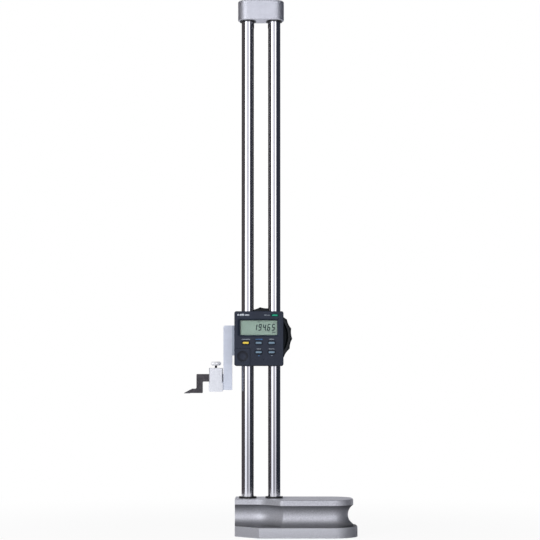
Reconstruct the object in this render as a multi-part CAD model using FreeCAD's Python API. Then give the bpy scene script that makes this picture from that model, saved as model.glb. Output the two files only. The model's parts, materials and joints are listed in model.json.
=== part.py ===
import FreeCAD, Part
import math
import os

# Two-column height gauge, in millimetres. The origin is on the underside of
# the base, midway between the columns. +X runs towards the long end of the
# base, +Y away from the display and +Z up the columns.

# Base: a cast block on a wider plinth, with a finger cove all round
BASE_HEIGHT = 53.0
PLINTH_HEIGHT = 14.8
PLINTH_MARGIN = 6.0
BASE_LEFT = 36.8
DECK_RIGHT = 130.4
DECK_FRONT = 45.0
DECK_BACK = 34.0
DECK_CORNER_RADIUS = 31.0
DECK_CHAMFER = 0.9
HEAD_FRONT = 17.0
HEAD_SLOPE_START = 0.2
HEAD_FILLET_MARGIN = 1.5
NOSE_RADIUS = 8.0
SHELF_FRONT = 19.0
SHELF_NOSE = -2.2
SHELF_CORNER_RADIUS = 1.0
COVE_RADIUS = 16.5
COVE_HEIGHT = 31.0
COVE_STANDOFF = 9.1
RELIEF_DEPTH = 2.0
RELIEF_START = 38.0
RELIEF_LAND = 16.0
RELIEF_CORNER_RADIUS = 10.0

# Columns, racks, stop rings and top cap
COLUMN_PITCH = 37.6
COLUMN_RADIUS = 9.0
COLUMN_SEAT = 24.0
COLUMN_EXPOSED = 682.0
FLAT_DEPTH = 0.5
FLAT_TOP_MARGIN = 10.0
RACK_WIDTH = 4.6
RACK_BODY = 2.2
RACK_TIP_DROP = 0.1
RACK_TOP_MARGIN = 25.4
RACK_START_MARGIN = 10.0
FLAT_START_MARGIN = 1.0
COLLAR_HEIGHT = 2.5
COLLAR_WALL = 3.5
CAP_RING_HEIGHT = 1.5
CAP_RING_WALL = 2.5
CAP_HEIGHT = 28.0
CAP_RADIUS = 14.0
CAP_SEAT = 18.0
CAP_EDGE = 0.9
COLUMN_BOLT_RADIUS = 4.0
COLUMN_BOLT_HEAD_RADIUS = 6.5
COLUMN_BOLT_HEAD_HEIGHT = 8.0
COLUMN_BOLT_GRIP = 14.0
COLUMN_BOLT_SINK = 9.0
CAP_SCREW_RADIUS = 3.0
CAP_SCREW_HEAD_RADIUS = 5.0
CAP_SCREW_HEAD_HEIGHT = 6.0
CAP_SCREW_GRIP = 12.0

# Gears: straight-flanked racks and involute pinions of one module
GEAR_MODULE = 1.0
PINION_TEETH = 17
PRESSURE_ANGLE = math.radians(20.0)
BACKLASH = 0.16
PINION_WIDTH = 4.0
FEED_SHAFT_RADIUS = 4.0
FEED_SHAFT_END_PLAY = 1.0
DEDENDUM = 1.25
ENCODER_SHAFT_RADIUS = 2.5
ENCODER_DROP = 21.2
ENCODER_DISC_RADIUS = 10.5
ENCODER_DISC_THICKNESS = 1.5
ENCODER_DISC_GAP = 8.2

# Slider: heights at rest are given from the axis of the feed shaft
FEED_HEIGHT = 283.8
BODY_LEFT = 37.0
BODY_RIGHT = 31.4
BODY_DEPTH = 30.0
BODY_BELOW = 41.7
BODY_ABOVE = 30.8
BODY_CORNER_RADIUS = 4.0
BUSH_WALL = 1.8
BUSH_LENGTH = 9.0
BORE_RELIEF = 0.6
POCKET_HALF_WIDTH = 12.6
POCKET_MARGIN = 1.0
POCKET_FLOOR = 10.0
SHAFT_BUSH_WALL = 1.5
FEED_BUSH_LENGTH = 7.0
COVER_LEFT = 14.2
COVER_RIGHT = 26.0
COVER_BELOW = 37.9
COVER_ABOVE = 17.1
COVER_THICKNESS = 3.0
COVER_CORNER_RADIUS = 4.0
COVER_EDGE = 0.6
COVER_SCREW_INSET = 4.0
BOSS_RADIUS = 12.0
BOSS_HEIGHT = 11.0
BOSS_EDGE = 1.0
COVER_SCREW_RADIUS = 1.5
COVER_SCREW_DEPTH = 3.0
COVER_SCREW_HEAD = 2.8
COVER_SCREW_HEAD_HEIGHT = 1.8

# Handwheel
WHEEL_RADIUS = 42.5
WHEEL_LOBES = 18
WHEEL_NOTCH_DEPTH = 1.6
WHEEL_NOTCH_RADIUS = 26.0
WHEEL_PHASE = -4.5
WHEEL_WIDTH = 15.0
WHEEL_RIM_OFFSET = 4.5
WHEEL_RIM_THICKNESS = 7.2
WHEEL_EDGE = 1.2
WHEEL_WEB = 4.5
WHEEL_DISH = 2.5
WHEEL_HUB_RADIUS = 13.0
WHEEL_HUB_REAR = 16.0
WHEEL_HUB_EDGE = 1.0
WHEEL_DRAFT = 2.0
DIMPLE_RADIUS = 8.0
DIMPLE_REACH = 26.0
DIMPLE_DEPTH = 2.6
WASHER_THICKNESS = 1.0
WASHER_INSET = 2.0
WHEEL_SCREW_RADIUS = 2.5
WHEEL_SCREW_GRIP = 10.0
WHEEL_SCREW_HEAD_RADIUS = 4.6
WHEEL_SCREW_HEAD_HEIGHT = 3.0

# Slider clamp at the back
CLAMP_DROP = 25.2
CLAMP_SCREW_RADIUS = 3.0
CLAMP_HUB_RADIUS = 5.0
CLAMP_HUB_LENGTH = 8.0
CLAMP_HUB_MARGIN = 0.8
CLAMP_HUB_EDGE = 1.0
CLAMP_HUB_CROWN = 2.0
CLAMP_LEVER_LENGTH = 20.0
CLAMP_LEVER_WIDTH = 7.0
CLAMP_LEVER_THICKNESS = 4.0
CLAMP_LEVER_STANDOFF = 1.0
CLAMP_LEVER_ANGLE = 45.0
CLAMP_LEVER_TAPER = 0.16
CLAMP_PAD_THICKNESS = 1.2

# Display unit: a moulded shell on a plate in front of the slider body
HOUSING_LEFT = 37.0
HOUSING_RIGHT = 31.8
HOUSING_BELOW = 43.5
HOUSING_ABOVE = 32.9
HOUSING_FRONT = 48.0
HOUSING_CORNER_RADIUS = 2.8
HOUSING_EDGE = 0.8
HOUSING_WALL = 2.5
HOUSING_FACE = 3.0
HOUSING_INNER_RADIUS = 0.6
MELT = 0.5
PLATE_THICKNESS = 2.0
PLATE_SCREW_INSET = 6.5
PLATE_SCREW_RADIUS = 1.5
PLATE_SCREW_HEAD = 2.8
PLATE_SCREW_HEAD_HEIGHT = 1.8
PLATE_SCREW_DEPTH = 3.4
BEZEL_LEFT = 32.4
BEZEL_RIGHT = 27.2
BEZEL_LOW = -2.2
BEZEL_HIGH = 22.5
BEZEL_DEPTH = 1.8
BEZEL_SAG = 0.8
BEZEL_CORNER_RADIUS = 1.2
SCREEN_LEFT = 28.9
SCREEN_RIGHT = 22.9
SCREEN_LOW = -0.5
SCREEN_HIGH = 20.4
WINDOW_RIM = 1.5
WINDOW_RIM_THICKNESS = 0.8
PANEL_THICKNESS = 2.0
CARRIER_DEPTH = 5.5
CARRIER_WALL = 2.0
BOARD_THICKNESS = 1.5
BOARD_GAP = 0.8

# Buttons and indicator on the front
BUTTON_WIDTH = 8.5
BUTTON_HEIGHT = 3.2
BUTTON_WELL_WIDTH = 11.8
BUTTON_WELL_HEIGHT = 6.7
BUTTON_WELL_DEPTH = 0.9
BUTTON_PROUD = 0.5
BUTTON_TRAVEL = 0.8
BUTTON_FLANGE = 1.0
BUTTON_FLANGE_RIM = 1.0
BUTTON_STEM_RADIUS = 1.2
BUTTON_EDGE = 0.35
BUTTON_LEFT_X = -20.9
BUTTON_MIDDLE_X = -2.9
BUTTON_RIGHT_X = 15.2
BUTTON_UPPER_DROP = 11.4
BUTTON_LOWER_DROP = 24.5
SWITCH_SIDE = 6.0
SWITCH_GAP = 0.3
SWITCH_HEIGHT = 3.5
LENS_X = 19.7
LENS_RISE = 27.3
LENS_WIDTH = 8.0
LENS_HEIGHT = 2.4
LENS_WELL_WIDTH = 11.5
LENS_WELL_HEIGHT = 4.3
PLUG_X = 4.6
PLUG_DROP = 35.4
PLUG_RADIUS = 2.6
PLUG_LENGTH = 3.0
CASE_SCREW_RADIUS = 1.5
CASE_SCREW_HEAD_HEIGHT = 2.4
CASE_SCREW_SEAT = 7.0
CASE_BOSS_WALL = 1.6

# Battery bay at the lower left of the shell
COVER_WIDTH = 22.3
COVER_TALL = 24.4
COVER_PLATE = 2.3
COVER_PLATE_EDGE = 0.4
DISH_RADIUS = 7.7
DISH_DEPTH = 1.7
DISH_INSET = 11.6
DISH_LIFT = 13.4
RAIL_WIDTH = 1.6
RAIL_FLARE = 0.5
RAIL_DEPTH = 1.4
RAIL_INSET = 2.0
RAIL_END = 1.5
BATTERY_RADIUS = 5.8
BATTERY_THICKNESS = 5.4
BATTERY_EDGE = 0.4
BATTERY_INSET = 11.8
BATTERY_LIFT = 12.2
BATTERY_FREE = 0.3
BAY_DEPTH = 6.9
CONTACT_THICKNESS = 0.3
CONTACT_WIDTH = 3.0
CONTACT_LENGTH = 9.0

# Encoder reader and output socket behind the circuit board
READER_WIDTH = 11.0
READER_HEIGHT = 9.0
READER_GAP = 0.5
READER_RISE = 5.2
SOCKET_DEPTH = 10.0
SOCKET_TALL = 18.0
SOCKET_LONG = 11.6
SOCKET_WALL = 1.8
SOCKET_REACH = 7.0
SOCKET_LIFT = 9.0

# Bracket, scriber clamp, thumbscrew and scriber on the left
ARM_WIDTH = 12.3
ARM_DEPTH = 16.0
ARM_CHAMFER = 2.0
SPACER_THICKNESS = 4.0
SPACER_BELOW = 28.1
BRACKET_ABOVE = 14.3
FOOT_HEIGHT = 11.9
FOOT_LENGTH = 19.2
FOOT_DROP = 77.4
BRACKET_SCREW_RADIUS = 2.5
BRACKET_SCREW_HEAD_RADIUS = 4.2
BRACKET_SCREW_HEAD_HEIGHT = 5.0
BRACKET_SCREW_GRIP = 6.0
BRACKET_SCREW_INSET = 10.0
SHANK_DEPTH = 9.0
SHANK_HEIGHT = 10.8
CLAMP_BOX_LEFT = -73.6
CLAMP_BOX_RIGHT = -54.5
CLAMP_BOX_DEPTH = 17.0
CLAMP_BOX_FLOOR = 2.4
CLAMP_BOX_ROOF = 7.6
CLAMP_BOX_HEADROOM = 1.0
CLAMP_BOX_CORNER = 2.4
CLAMP_BOX_EDGE = 0.9
CLAMP_BOX_STEP = 0.4
CLAMP_BOX_STEP_HEIGHT = 13.0
CLAMP_BOX_STEP_RADIUS = 0.3
THUMB_RADIUS = 7.15
THUMB_HEIGHT = 5.4
THUMB_NECK = 3.6
THUMB_SCREW_RADIUS = 1.5
THUMB_GROOVES = 24
THUMB_GROOVE_DEPTH = 0.5
THUMB_EDGE = 1.6
THUMB_DISH = 0.6
SCRIBER_LEG_LEFT = -91.7
SCRIBER_LEG_WIDTH = 8.8
SCRIBER_TAIL_GAP = 0.3
SCRIBER_TOE = -109.3
SCRIBER_HEEL_RISE = 0.5
SCRIBER_HEEL_RUN = 1.0
SCRIBER_HEEL_RADIUS = 1.0
SCRIBER_KNEE_RADIUS = 1.5
SCRIBER_TOP_RADIUS = 1.2
SCRIBER_ANKLE_RADIUS = 1.8
SCRIBER_DROP = 82.2
SCRIBER_TOE_THICKNESS = 0.7
SCRIBER_LAND = -97.8
SCRIBER_INSTEP = -94.0
SCRIBER_TOE_TOP = 6.8
SCRIBER_TOE_WIDTH = 2.0
TIP_LENGTH = 8.0
TIP_BACK = 1.75

# Clearances
RUNNING = 0.05
BUSH_RUNNING = 0.03
SLIDING = 0.05
SEAM = 0.15
SCREW_CLEARANCE = 0.25
CLAMP_HUB_FREE = 0.4

# Values worked out from the sizes above
Vector = FreeCAD.Vector
ORIGIN = Vector(0, 0, 0)
X_AXIS = Vector(1, 0, 0)
Y_AXIS = Vector(0, 1, 0)
Z_AXIS = Vector(0, 0, 1)

COLUMN_X = COLUMN_PITCH / 2
COLUMN_FOOT = BASE_HEIGHT - COLUMN_SEAT
CAP_UNDERSIDE = BASE_HEIGHT + COLUMN_EXPOSED
COLUMN_TOP = CAP_UNDERSIDE + CAP_SEAT
FLAT_START = BASE_HEIGHT + COLLAR_HEIGHT + FLAT_START_MARGIN
RACK_START = FLAT_START + RACK_START_MARGIN
RACK_END = CAP_UNDERSIDE - RACK_TOP_MARGIN

PITCH_RADIUS = GEAR_MODULE * PINION_TEETH / 2
TIP_RADIUS = PITCH_RADIUS + GEAR_MODULE
ROOT_RADIUS = PITCH_RADIUS - DEDENDUM * GEAR_MODULE
TOOTH_PITCH = math.pi * GEAR_MODULE
RACK_TIP = math.sqrt(COLUMN_RADIUS ** 2 - (RACK_WIDTH / 2) ** 2) - RACK_TIP_DROP
RACK_PITCH_LINE = RACK_TIP - GEAR_MODULE
RACK_ROOT = RACK_PITCH_LINE - DEDENDUM * GEAR_MODULE
RACK_FLOOR = RACK_ROOT - RACK_BODY
FEED_X = COLUMN_X - RACK_PITCH_LINE - PITCH_RADIUS
ENCODER_X = -FEED_X
ENCODER_HEIGHT = FEED_HEIGHT - ENCODER_DROP

BODY_FRONT = -BODY_DEPTH / 2
BODY_BACK = BODY_DEPTH / 2
BODY_LOW = FEED_HEIGHT - BODY_BELOW
BODY_HIGH = FEED_HEIGHT + BODY_ABOVE
BUSH_BORE = COLUMN_RADIUS + BUSH_RUNNING
BUSH_RADIUS = BUSH_BORE + BUSH_WALL
POCKET_LOW = ENCODER_HEIGHT - TIP_RADIUS - POCKET_MARGIN
POCKET_HIGH = FEED_HEIGHT + TIP_RADIUS + POCKET_MARGIN
POCKET_FRONT = BODY_BACK - BODY_DEPTH + POCKET_FLOOR
FEED_BORE = FEED_SHAFT_RADIUS + RUNNING
FEED_BUSH_RADIUS = FEED_BORE + SHAFT_BUSH_WALL
ENCODER_BORE = ENCODER_SHAFT_RADIUS + RUNNING
ENCODER_BUSH_RADIUS = ENCODER_BORE + SHAFT_BUSH_WALL
COVER_BACK = BODY_BACK + COVER_THICKNESS
COVER_SCREW_SEAT = COVER_BACK - COVER_SCREW_HEAD_HEIGHT - SEAM
BOSS_END = COVER_BACK + BOSS_HEIGHT
WHEEL_HUB_FRONT = BOSS_END + RUNNING + WASHER_THICKNESS
WHEEL_FRONT = WHEEL_HUB_FRONT + WHEEL_RIM_OFFSET
WHEEL_BACK = WHEEL_FRONT + WHEEL_WIDTH
WHEEL_HUB_BACK = WHEEL_HUB_FRONT + WHEEL_HUB_REAR
FEED_SHAFT_FRONT = POCKET_FRONT - FEED_BUSH_LENGTH + FEED_SHAFT_END_PLAY

CLAMP_HEIGHT = FEED_HEIGHT - CLAMP_DROP
CLAMP_BORE = CLAMP_SCREW_RADIUS + RUNNING
CLAMP_PAD_BACK = COLUMN_RADIUS + RUNNING + CLAMP_PAD_THICKNESS
CLAMP_HUB_FRONT = BODY_BACK + CLAMP_HUB_FREE

HOUSING_LOW = FEED_HEIGHT - HOUSING_BELOW
HOUSING_HIGH = FEED_HEIGHT + HOUSING_ABOVE
PLATE_FRONT = BODY_FRONT - PLATE_THICKNESS
FACE_BACK = HOUSING_FACE - HOUSING_FRONT
SCREEN_X = (-SCREEN_LEFT, SCREEN_RIGHT)
SCREEN_Z = (FEED_HEIGHT + SCREEN_LOW, FEED_HEIGHT + SCREEN_HIGH)
WINDOW_BACK = FACE_BACK + WINDOW_RIM_THICKNESS
PANEL_BACK = WINDOW_BACK + PANEL_THICKNESS
BOARD_FRONT = PANEL_BACK + CARRIER_DEPTH
BOARD_BACK = BOARD_FRONT + BOARD_THICKNESS
BUTTONS = {
    "button_origin": (BUTTON_LEFT_X, FEED_HEIGHT - BUTTON_UPPER_DROP),
    "button_mode": (BUTTON_MIDDLE_X, FEED_HEIGHT - BUTTON_UPPER_DROP),
    "button_zero": (BUTTON_RIGHT_X, FEED_HEIGHT - BUTTON_UPPER_DROP),
    "button_hold": (BUTTON_MIDDLE_X, FEED_HEIGHT - BUTTON_LOWER_DROP),
    "button_data": (BUTTON_RIGHT_X, FEED_HEIGHT - BUTTON_LOWER_DROP),
}
BUTTON_CAP_FRONT = -HOUSING_FRONT - BUTTON_PROUD
FLANGE_FRONT = FACE_BACK + SLIDING
FLANGE_BACK = FLANGE_FRONT + BUTTON_FLANGE
STEM_END = BOARD_FRONT - SWITCH_HEIGHT - BUTTON_TRAVEL - SWITCH_GAP
LENS_Z = FEED_HEIGHT + LENS_RISE
PLUG_Z = FEED_HEIGHT - PLUG_DROP
CASE_SCREW_TOP = PLATE_FRONT - CASE_SCREW_SEAT
CASE_BOSS_RADIUS = PLUG_RADIUS + CASE_BOSS_WALL

BAY_X = (-HOUSING_LEFT, COVER_WIDTH - HOUSING_LEFT)
BAY_Z = (HOUSING_LOW, HOUSING_LOW + COVER_TALL)
BAY_FACE = COVER_PLATE + SEAM - HOUSING_FRONT
BATTERY_X = BATTERY_INSET - HOUSING_LEFT
BATTERY_Z = HOUSING_LOW + BATTERY_LIFT
BATTERY_BACK = BAY_FACE + BATTERY_FREE + BATTERY_THICKNESS
WELL_BACK = BATTERY_BACK + CONTACT_THICKNESS
BAY_BACK = BAY_FACE + BAY_DEPTH
RAIL_HEIGHTS = (
    BAY_Z[0] + RAIL_INSET + RAIL_WIDTH / 2,
    BAY_Z[1] - RAIL_INSET - RAIL_WIDTH / 2,
)
DISC_FRONT = BOARD_BACK + ENCODER_DISC_GAP
READER_Z = ENCODER_HEIGHT + READER_RISE
SOCKET_Z = (HOUSING_LOW + SOCKET_LIFT, HOUSING_LOW + SOCKET_LIFT + SOCKET_TALL)

SPACER_LEFT = -BODY_LEFT - SPACER_THICKNESS
ARM_LEFT = SPACER_LEFT - ARM_WIDTH
FOOT_LOW = FEED_HEIGHT - FOOT_DROP
FOOT_HIGH = FOOT_LOW + FOOT_HEIGHT
BRACKET_TOP = FEED_HEIGHT + BRACKET_ABOVE
SPACER_LOW = FEED_HEIGHT - SPACER_BELOW
BRACKET_SCREW_HEIGHTS = (SPACER_LOW + BRACKET_SCREW_INSET, BRACKET_TOP - BRACKET_SCREW_INSET)
SHANK_LOW = FOOT_HIGH + SLIDING
SHANK_HIGH = SHANK_LOW + SHANK_HEIGHT
CLAMP_BOX_LOW = FOOT_LOW - SLIDING - CLAMP_BOX_FLOOR
CLAMP_BOX_WINDOW_HIGH = SHANK_HIGH + CLAMP_BOX_HEADROOM
CLAMP_BOX_HIGH = CLAMP_BOX_WINDOW_HIGH + CLAMP_BOX_ROOF
CLAMP_BOX_X = (CLAMP_BOX_LEFT + CLAMP_BOX_RIGHT) / 2
SCRIBER_TAIL = ARM_LEFT - SCRIBER_TAIL_GAP
SCRIBER_FLOOR = FEED_HEIGHT - SCRIBER_DROP
TIP_END = SCRIBER_TOE + TIP_LENGTH


def block(x, y, z):
    """Box that fills the spans x, y and z."""
    return Part.makeBox(x[1] - x[0], y[1] - y[0], z[1] - z[0], Vector(x[0], y[0], z[0]))


def rod(radius, y, x, z):
    """Cylinder along Y over the span y, with its axis at x and z."""
    return Part.makeCylinder(radius, y[1] - y[0], Vector(x, y[0], z), Y_AXIS)


def post(radius, z, x, y=0.0):
    """Upright cylinder over the span z, with its axis at x and y."""
    return Part.makeCylinder(radius, z[1] - z[0], Vector(x, y, z[0]), Z_AXIS)


def edges_along(shape, direction):
    """Straight edges of a shape that run along a direction."""
    found = []
    for edge in shape.Edges:
        if not isinstance(edge.Curve, Part.Line):
            continue
        if edge.tangentAt(edge.FirstParameter).cross(direction).Length < 1e-6:
            found.append(edge)
    return found


def edges_at(shape, axis, value):
    """Edges that lie whole in the plane where the coordinate named axis has this value."""
    return [
        edge
        for edge in shape.Edges
        if all(abs(getattr(vertex.Point, axis) - value) < 1e-6 for vertex in edge.Vertexes)
        and abs(getattr(edge.CenterOfMass, axis) - value) < 1e-6
    ]


def rounded_edges(corners, closed=True):
    """Edges in the XY plane through (x, y, radius) corners, with an arc at each corner."""
    starts = []
    ends = []
    arcs = []
    last = len(corners) - 1
    for index, (x, y, radius) in enumerate(corners):
        corner = Vector(x, y, 0)
        if radius <= 0 or (not closed and index in (0, last)):
            starts.append(corner)
            ends.append(corner)
            arcs.append(None)
            continue
        before = corners[index - 1]
        after = corners[(index + 1) % len(corners)]
        to_before = (Vector(before[0], before[1], 0) - corner).normalize()
        to_after = (Vector(after[0], after[1], 0) - corner).normalize()
        half = to_before.getAngle(to_after) / 2
        inward = (to_before + to_after).normalize()
        start = corner + to_before * (radius / math.tan(half))
        end = corner + to_after * (radius / math.tan(half))
        middle = corner + inward * (radius / math.sin(half) - radius)
        starts.append(start)
        ends.append(end)
        arcs.append(Part.Arc(start, middle, end).toShape())
    edges = []
    for index, arc in enumerate(arcs):
        if arc is not None:
            edges.append(arc)
        if index == last and not closed:
            break
        after = starts[(index + 1) % len(corners)]
        if (after - ends[index]).Length > 1e-6:
            edges.append(Part.LineSegment(ends[index], after).toShape())
    return edges


def plan_prism(corners, z):
    """Upright solid over the span z, from a plan outline of (x, y, radius) corners."""
    face = Part.Face(Part.Wire(rounded_edges(corners)))
    face.translate(Vector(0, 0, z[0]))
    return face.extrude(Vector(0, 0, z[1] - z[0]))


def front_wire(corners, y):
    """Wire in the plane at y, from a front-view outline of (x, z, radius) corners."""
    wire = Part.Wire(rounded_edges(corners))
    wire.rotate(ORIGIN, X_AXIS, 90)
    wire.translate(Vector(0, y, 0))
    return wire


def front_prism(corners, y):
    """Solid over the span y, from a front-view outline of (x, z, radius) corners."""
    return Part.Face(front_wire(corners, y[0])).extrude(Vector(0, y[1] - y[0], 0))


def rectangle(x, z, radius=0.0):
    """Corners of an upright rectangle over the spans x and z."""
    return [(x[0], z[0], radius), (x[1], z[0], radius), (x[1], z[1], radius), (x[0], z[1], radius)]


def pill(centre, width, height, y):
    """Bar with round ends seen from the front, over the span y."""
    x = (centre[0] - width / 2, centre[0] + width / 2)
    z = (centre[1] - height / 2, centre[1] + height / 2)
    return front_prism(rectangle(x, z, height / 2), y)


def turned(profile, x, z):
    """Solid turned about an axis along Y, from (radius, y) points."""
    points = [Vector(radius, y, 0) for radius, y in profile]
    solid = Part.Face(Part.makePolygon(points + points[:1])).revolve(ORIGIN, Y_AXIS, 360)
    solid.translate(Vector(x, 0, z))
    return solid


def ring(outer, inner, z, x):
    """Upright ring over the span z."""
    return post(outer, z, x).cut(post(inner, z, x))


def sleeve(outer, inner, y, x, z):
    """Ring along Y over the span y."""
    return rod(outer, y, x, z).cut(rod(inner, y, x, z))


def socket_screw(radius, length, head_radius, head_height):
    """Socket head screw: the head's top at the origin, its shank down -Z."""
    head = post(head_radius, (-head_height, 0), 0.0)
    shank = post(radius, (-head_height - length, -head_height), 0.0)
    socket = Part.Face(Part.Wire(Part.makePolygon([
        Vector(head_radius * 0.5 * math.cos(math.radians(60 * side)),
               head_radius * 0.5 * math.sin(math.radians(60 * side)), -head_height * 0.55)
        for side in range(7)
    ])))
    return head.fuse(shank).removeSplitter().cut(socket.extrude(Vector(0, 0, head_height)))


def aimed(shape, outward, position):
    """Copy of a shape that stands on +Z, turned towards outward and moved to position."""
    copy = shape.copy()
    copy.Placement = FreeCAD.Placement(position, FreeCAD.Rotation(Z_AXIS, outward))
    return copy


def group(solids):
    """Separate solids kept together in one file."""
    return Part.makeCompound(solids)


def deck_corners(margin):
    """Plan corners of the deck outline, moved outwards by margin."""
    slope_start = HEAD_SLOPE_START + margin * (1 - math.sqrt(2))
    slope_end = slope_start + DECK_FRONT - HEAD_FRONT
    head_fillet = COVE_RADIUS + COVE_STANDOFF + HEAD_FILLET_MARGIN - margin
    return [
        (-BASE_LEFT, -HEAD_FRONT - margin, 0),
        (slope_start, -HEAD_FRONT - margin, head_fillet),
        (slope_end, -DECK_FRONT - margin, NOSE_RADIUS + margin),
        (DECK_RIGHT + margin, -DECK_FRONT - margin, DECK_CORNER_RADIUS + margin),
        (DECK_RIGHT + margin, DECK_BACK + margin, DECK_CORNER_RADIUS + margin),
        (-BASE_LEFT, DECK_BACK + margin, 0),
    ]


def cove():
    """Round bar bent along the front, slope, right end and back of the deck."""
    corners = deck_corners(COVE_STANDOFF)
    run_out = BASE_LEFT + COVE_RADIUS
    corners[0] = (-run_out, corners[0][1], 0)
    corners[-1] = (-run_out, corners[-1][1], 0)
    path = Part.Wire(rounded_edges(corners, closed=False))
    path.translate(Vector(0, 0, COVE_HEIGHT))
    start = Vector(-run_out, corners[0][1], COVE_HEIGHT)
    section = Part.Wire(Part.makeCircle(COVE_RADIUS, start, X_AXIS))
    return path.makePipeShell([section], True, False)


def base():
    """Cast base: plinth, deck, cove, relieved underside and bores for the columns."""
    plinth_radius = DECK_CORNER_RADIUS + PLINTH_MARGIN
    right = DECK_RIGHT + PLINTH_MARGIN
    plinth = plan_prism([
        (-BASE_LEFT, -SHELF_FRONT, 0),
        (SHELF_NOSE, -DECK_FRONT - PLINTH_MARGIN, SHELF_CORNER_RADIUS),
        (right, -DECK_FRONT - PLINTH_MARGIN, plinth_radius),
        (right, DECK_BACK + PLINTH_MARGIN, plinth_radius),
        (-BASE_LEFT, DECK_BACK + PLINTH_MARGIN, 0),
    ], (0, PLINTH_HEIGHT))
    plinth = plinth.makeChamfer(DECK_CHAMFER, edges_at(plinth, "z", PLINTH_HEIGHT))
    deck = plan_prism(deck_corners(0.0), (PLINTH_HEIGHT / 2, BASE_HEIGHT))
    deck = deck.makeChamfer(DECK_CHAMFER, edges_at(deck, "z", BASE_HEIGHT))
    solid = plinth.fuse(deck.cut(cove()))
    land = RELIEF_LAND + PLINTH_MARGIN
    relief = plan_prism([
        (RELIEF_START, -DECK_FRONT + land, RELIEF_CORNER_RADIUS),
        (right - land, -DECK_FRONT + land, RELIEF_CORNER_RADIUS),
        (right - land, DECK_BACK - land, RELIEF_CORNER_RADIUS),
        (RELIEF_START, DECK_BACK - land, RELIEF_CORNER_RADIUS),
    ], (0, RELIEF_DEPTH))
    solid = solid.cut(relief)
    for x in (-COLUMN_X, COLUMN_X):
        solid = solid.cut(post(COLUMN_RADIUS, (COLUMN_FOOT, BASE_HEIGHT), x))
        solid = solid.cut(post(COLUMN_BOLT_RADIUS + SCREW_CLEARANCE, (0, COLUMN_FOOT), x))
        solid = solid.cut(post(COLUMN_BOLT_HEAD_RADIUS + SCREW_CLEARANCE, (0, COLUMN_BOLT_SINK), x))
    return solid.removeSplitter()


def left_column():
    """Left column: round bar with a flat and a rack slot facing the other column."""
    bar = post(COLUMN_RADIUS, (COLUMN_FOOT, COLUMN_TOP), -COLUMN_X)
    flat_x = COLUMN_RADIUS - FLAT_DEPTH - COLUMN_X
    flat = block((flat_x, flat_x + COLUMN_RADIUS), (-COLUMN_RADIUS, COLUMN_RADIUS),
                 (FLAT_START, CAP_UNDERSIDE - FLAT_TOP_MARGIN))
    half = RACK_WIDTH / 2
    slot = block((RACK_FLOOR - COLUMN_X, flat_x + COLUMN_RADIUS), (-half, half), (RACK_START, RACK_END))
    bolt = post(COLUMN_BOLT_RADIUS, (COLUMN_FOOT, COLUMN_FOOT + COLUMN_BOLT_GRIP), -COLUMN_X)
    screw = post(CAP_SCREW_RADIUS, (COLUMN_TOP - CAP_SCREW_GRIP, COLUMN_TOP), -COLUMN_X)
    return bar.cut([flat, slot, bolt, screw])


def right_column():
    """Right column: the left one mirrored."""
    return left_column().mirror(ORIGIN, X_AXIS)


def rack(mesh_height):
    """Left rack, with one tooth centred at mesh_height."""
    half_pitch_line = TOOTH_PITCH / 4 - BACKLASH / 4
    half_tip = half_pitch_line - GEAR_MODULE * math.tan(PRESSURE_ANGLE)
    half_root = half_pitch_line + DEDENDUM * GEAR_MODULE * math.tan(PRESSURE_ANGLE)
    first = math.ceil((RACK_START + half_root - mesh_height) / TOOTH_PITCH)
    last = math.floor((RACK_END - half_root - mesh_height) / TOOTH_PITCH)
    root = RACK_ROOT - COLUMN_X
    tip = RACK_TIP - COLUMN_X
    half = RACK_WIDTH / 2
    points = [Vector(RACK_FLOOR - COLUMN_X, -half, RACK_START), Vector(root, -half, RACK_START)]
    for index in range(first, last + 1):
        z = mesh_height + index * TOOTH_PITCH
        points.append(Vector(root, -half, z - half_root))
        points.append(Vector(tip, -half, z - half_tip))
        points.append(Vector(tip, -half, z + half_tip))
        points.append(Vector(root, -half, z + half_root))
    points.append(Vector(root, -half, RACK_END))
    points.append(Vector(RACK_FLOOR - COLUMN_X, -half, RACK_END))
    outline = Part.makePolygon(points + points[:1])
    return Part.Face(outline).extrude(Vector(0, RACK_WIDTH, 0))


def left_rack():
    """Rack that drives the encoder pinion."""
    return rack(ENCODER_HEIGHT)


def right_rack():
    """Rack that the feed pinion climbs."""
    return rack(FEED_HEIGHT).mirror(ORIGIN, X_AXIS)


def both_columns(make):
    """The same solid made round each column."""
    return group([make(-COLUMN_X), make(COLUMN_X)])


def base_collars():
    """Stop collars round the feet of the columns."""
    span = (BASE_HEIGHT, BASE_HEIGHT + COLLAR_HEIGHT)
    return both_columns(lambda x: ring(COLUMN_RADIUS + COLLAR_WALL, COLUMN_RADIUS, span, x))


def cap_rings():
    """Stop rings round the columns under the top cap."""
    span = (CAP_UNDERSIDE - CAP_RING_HEIGHT, CAP_UNDERSIDE)
    return both_columns(lambda x: ring(COLUMN_RADIUS + CAP_RING_WALL, COLUMN_RADIUS, span, x))


def column_bolts():
    """Socket screws up through the base into the columns."""
    length = COLUMN_FOOT + COLUMN_BOLT_GRIP - COLUMN_BOLT_SINK
    bolt = socket_screw(COLUMN_BOLT_RADIUS, length, COLUMN_BOLT_HEAD_RADIUS, COLUMN_BOLT_HEAD_HEIGHT)
    height = COLUMN_BOLT_SINK - COLUMN_BOLT_HEAD_HEIGHT
    return both_columns(lambda x: aimed(bolt, -Z_AXIS, Vector(x, 0, height)))


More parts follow.
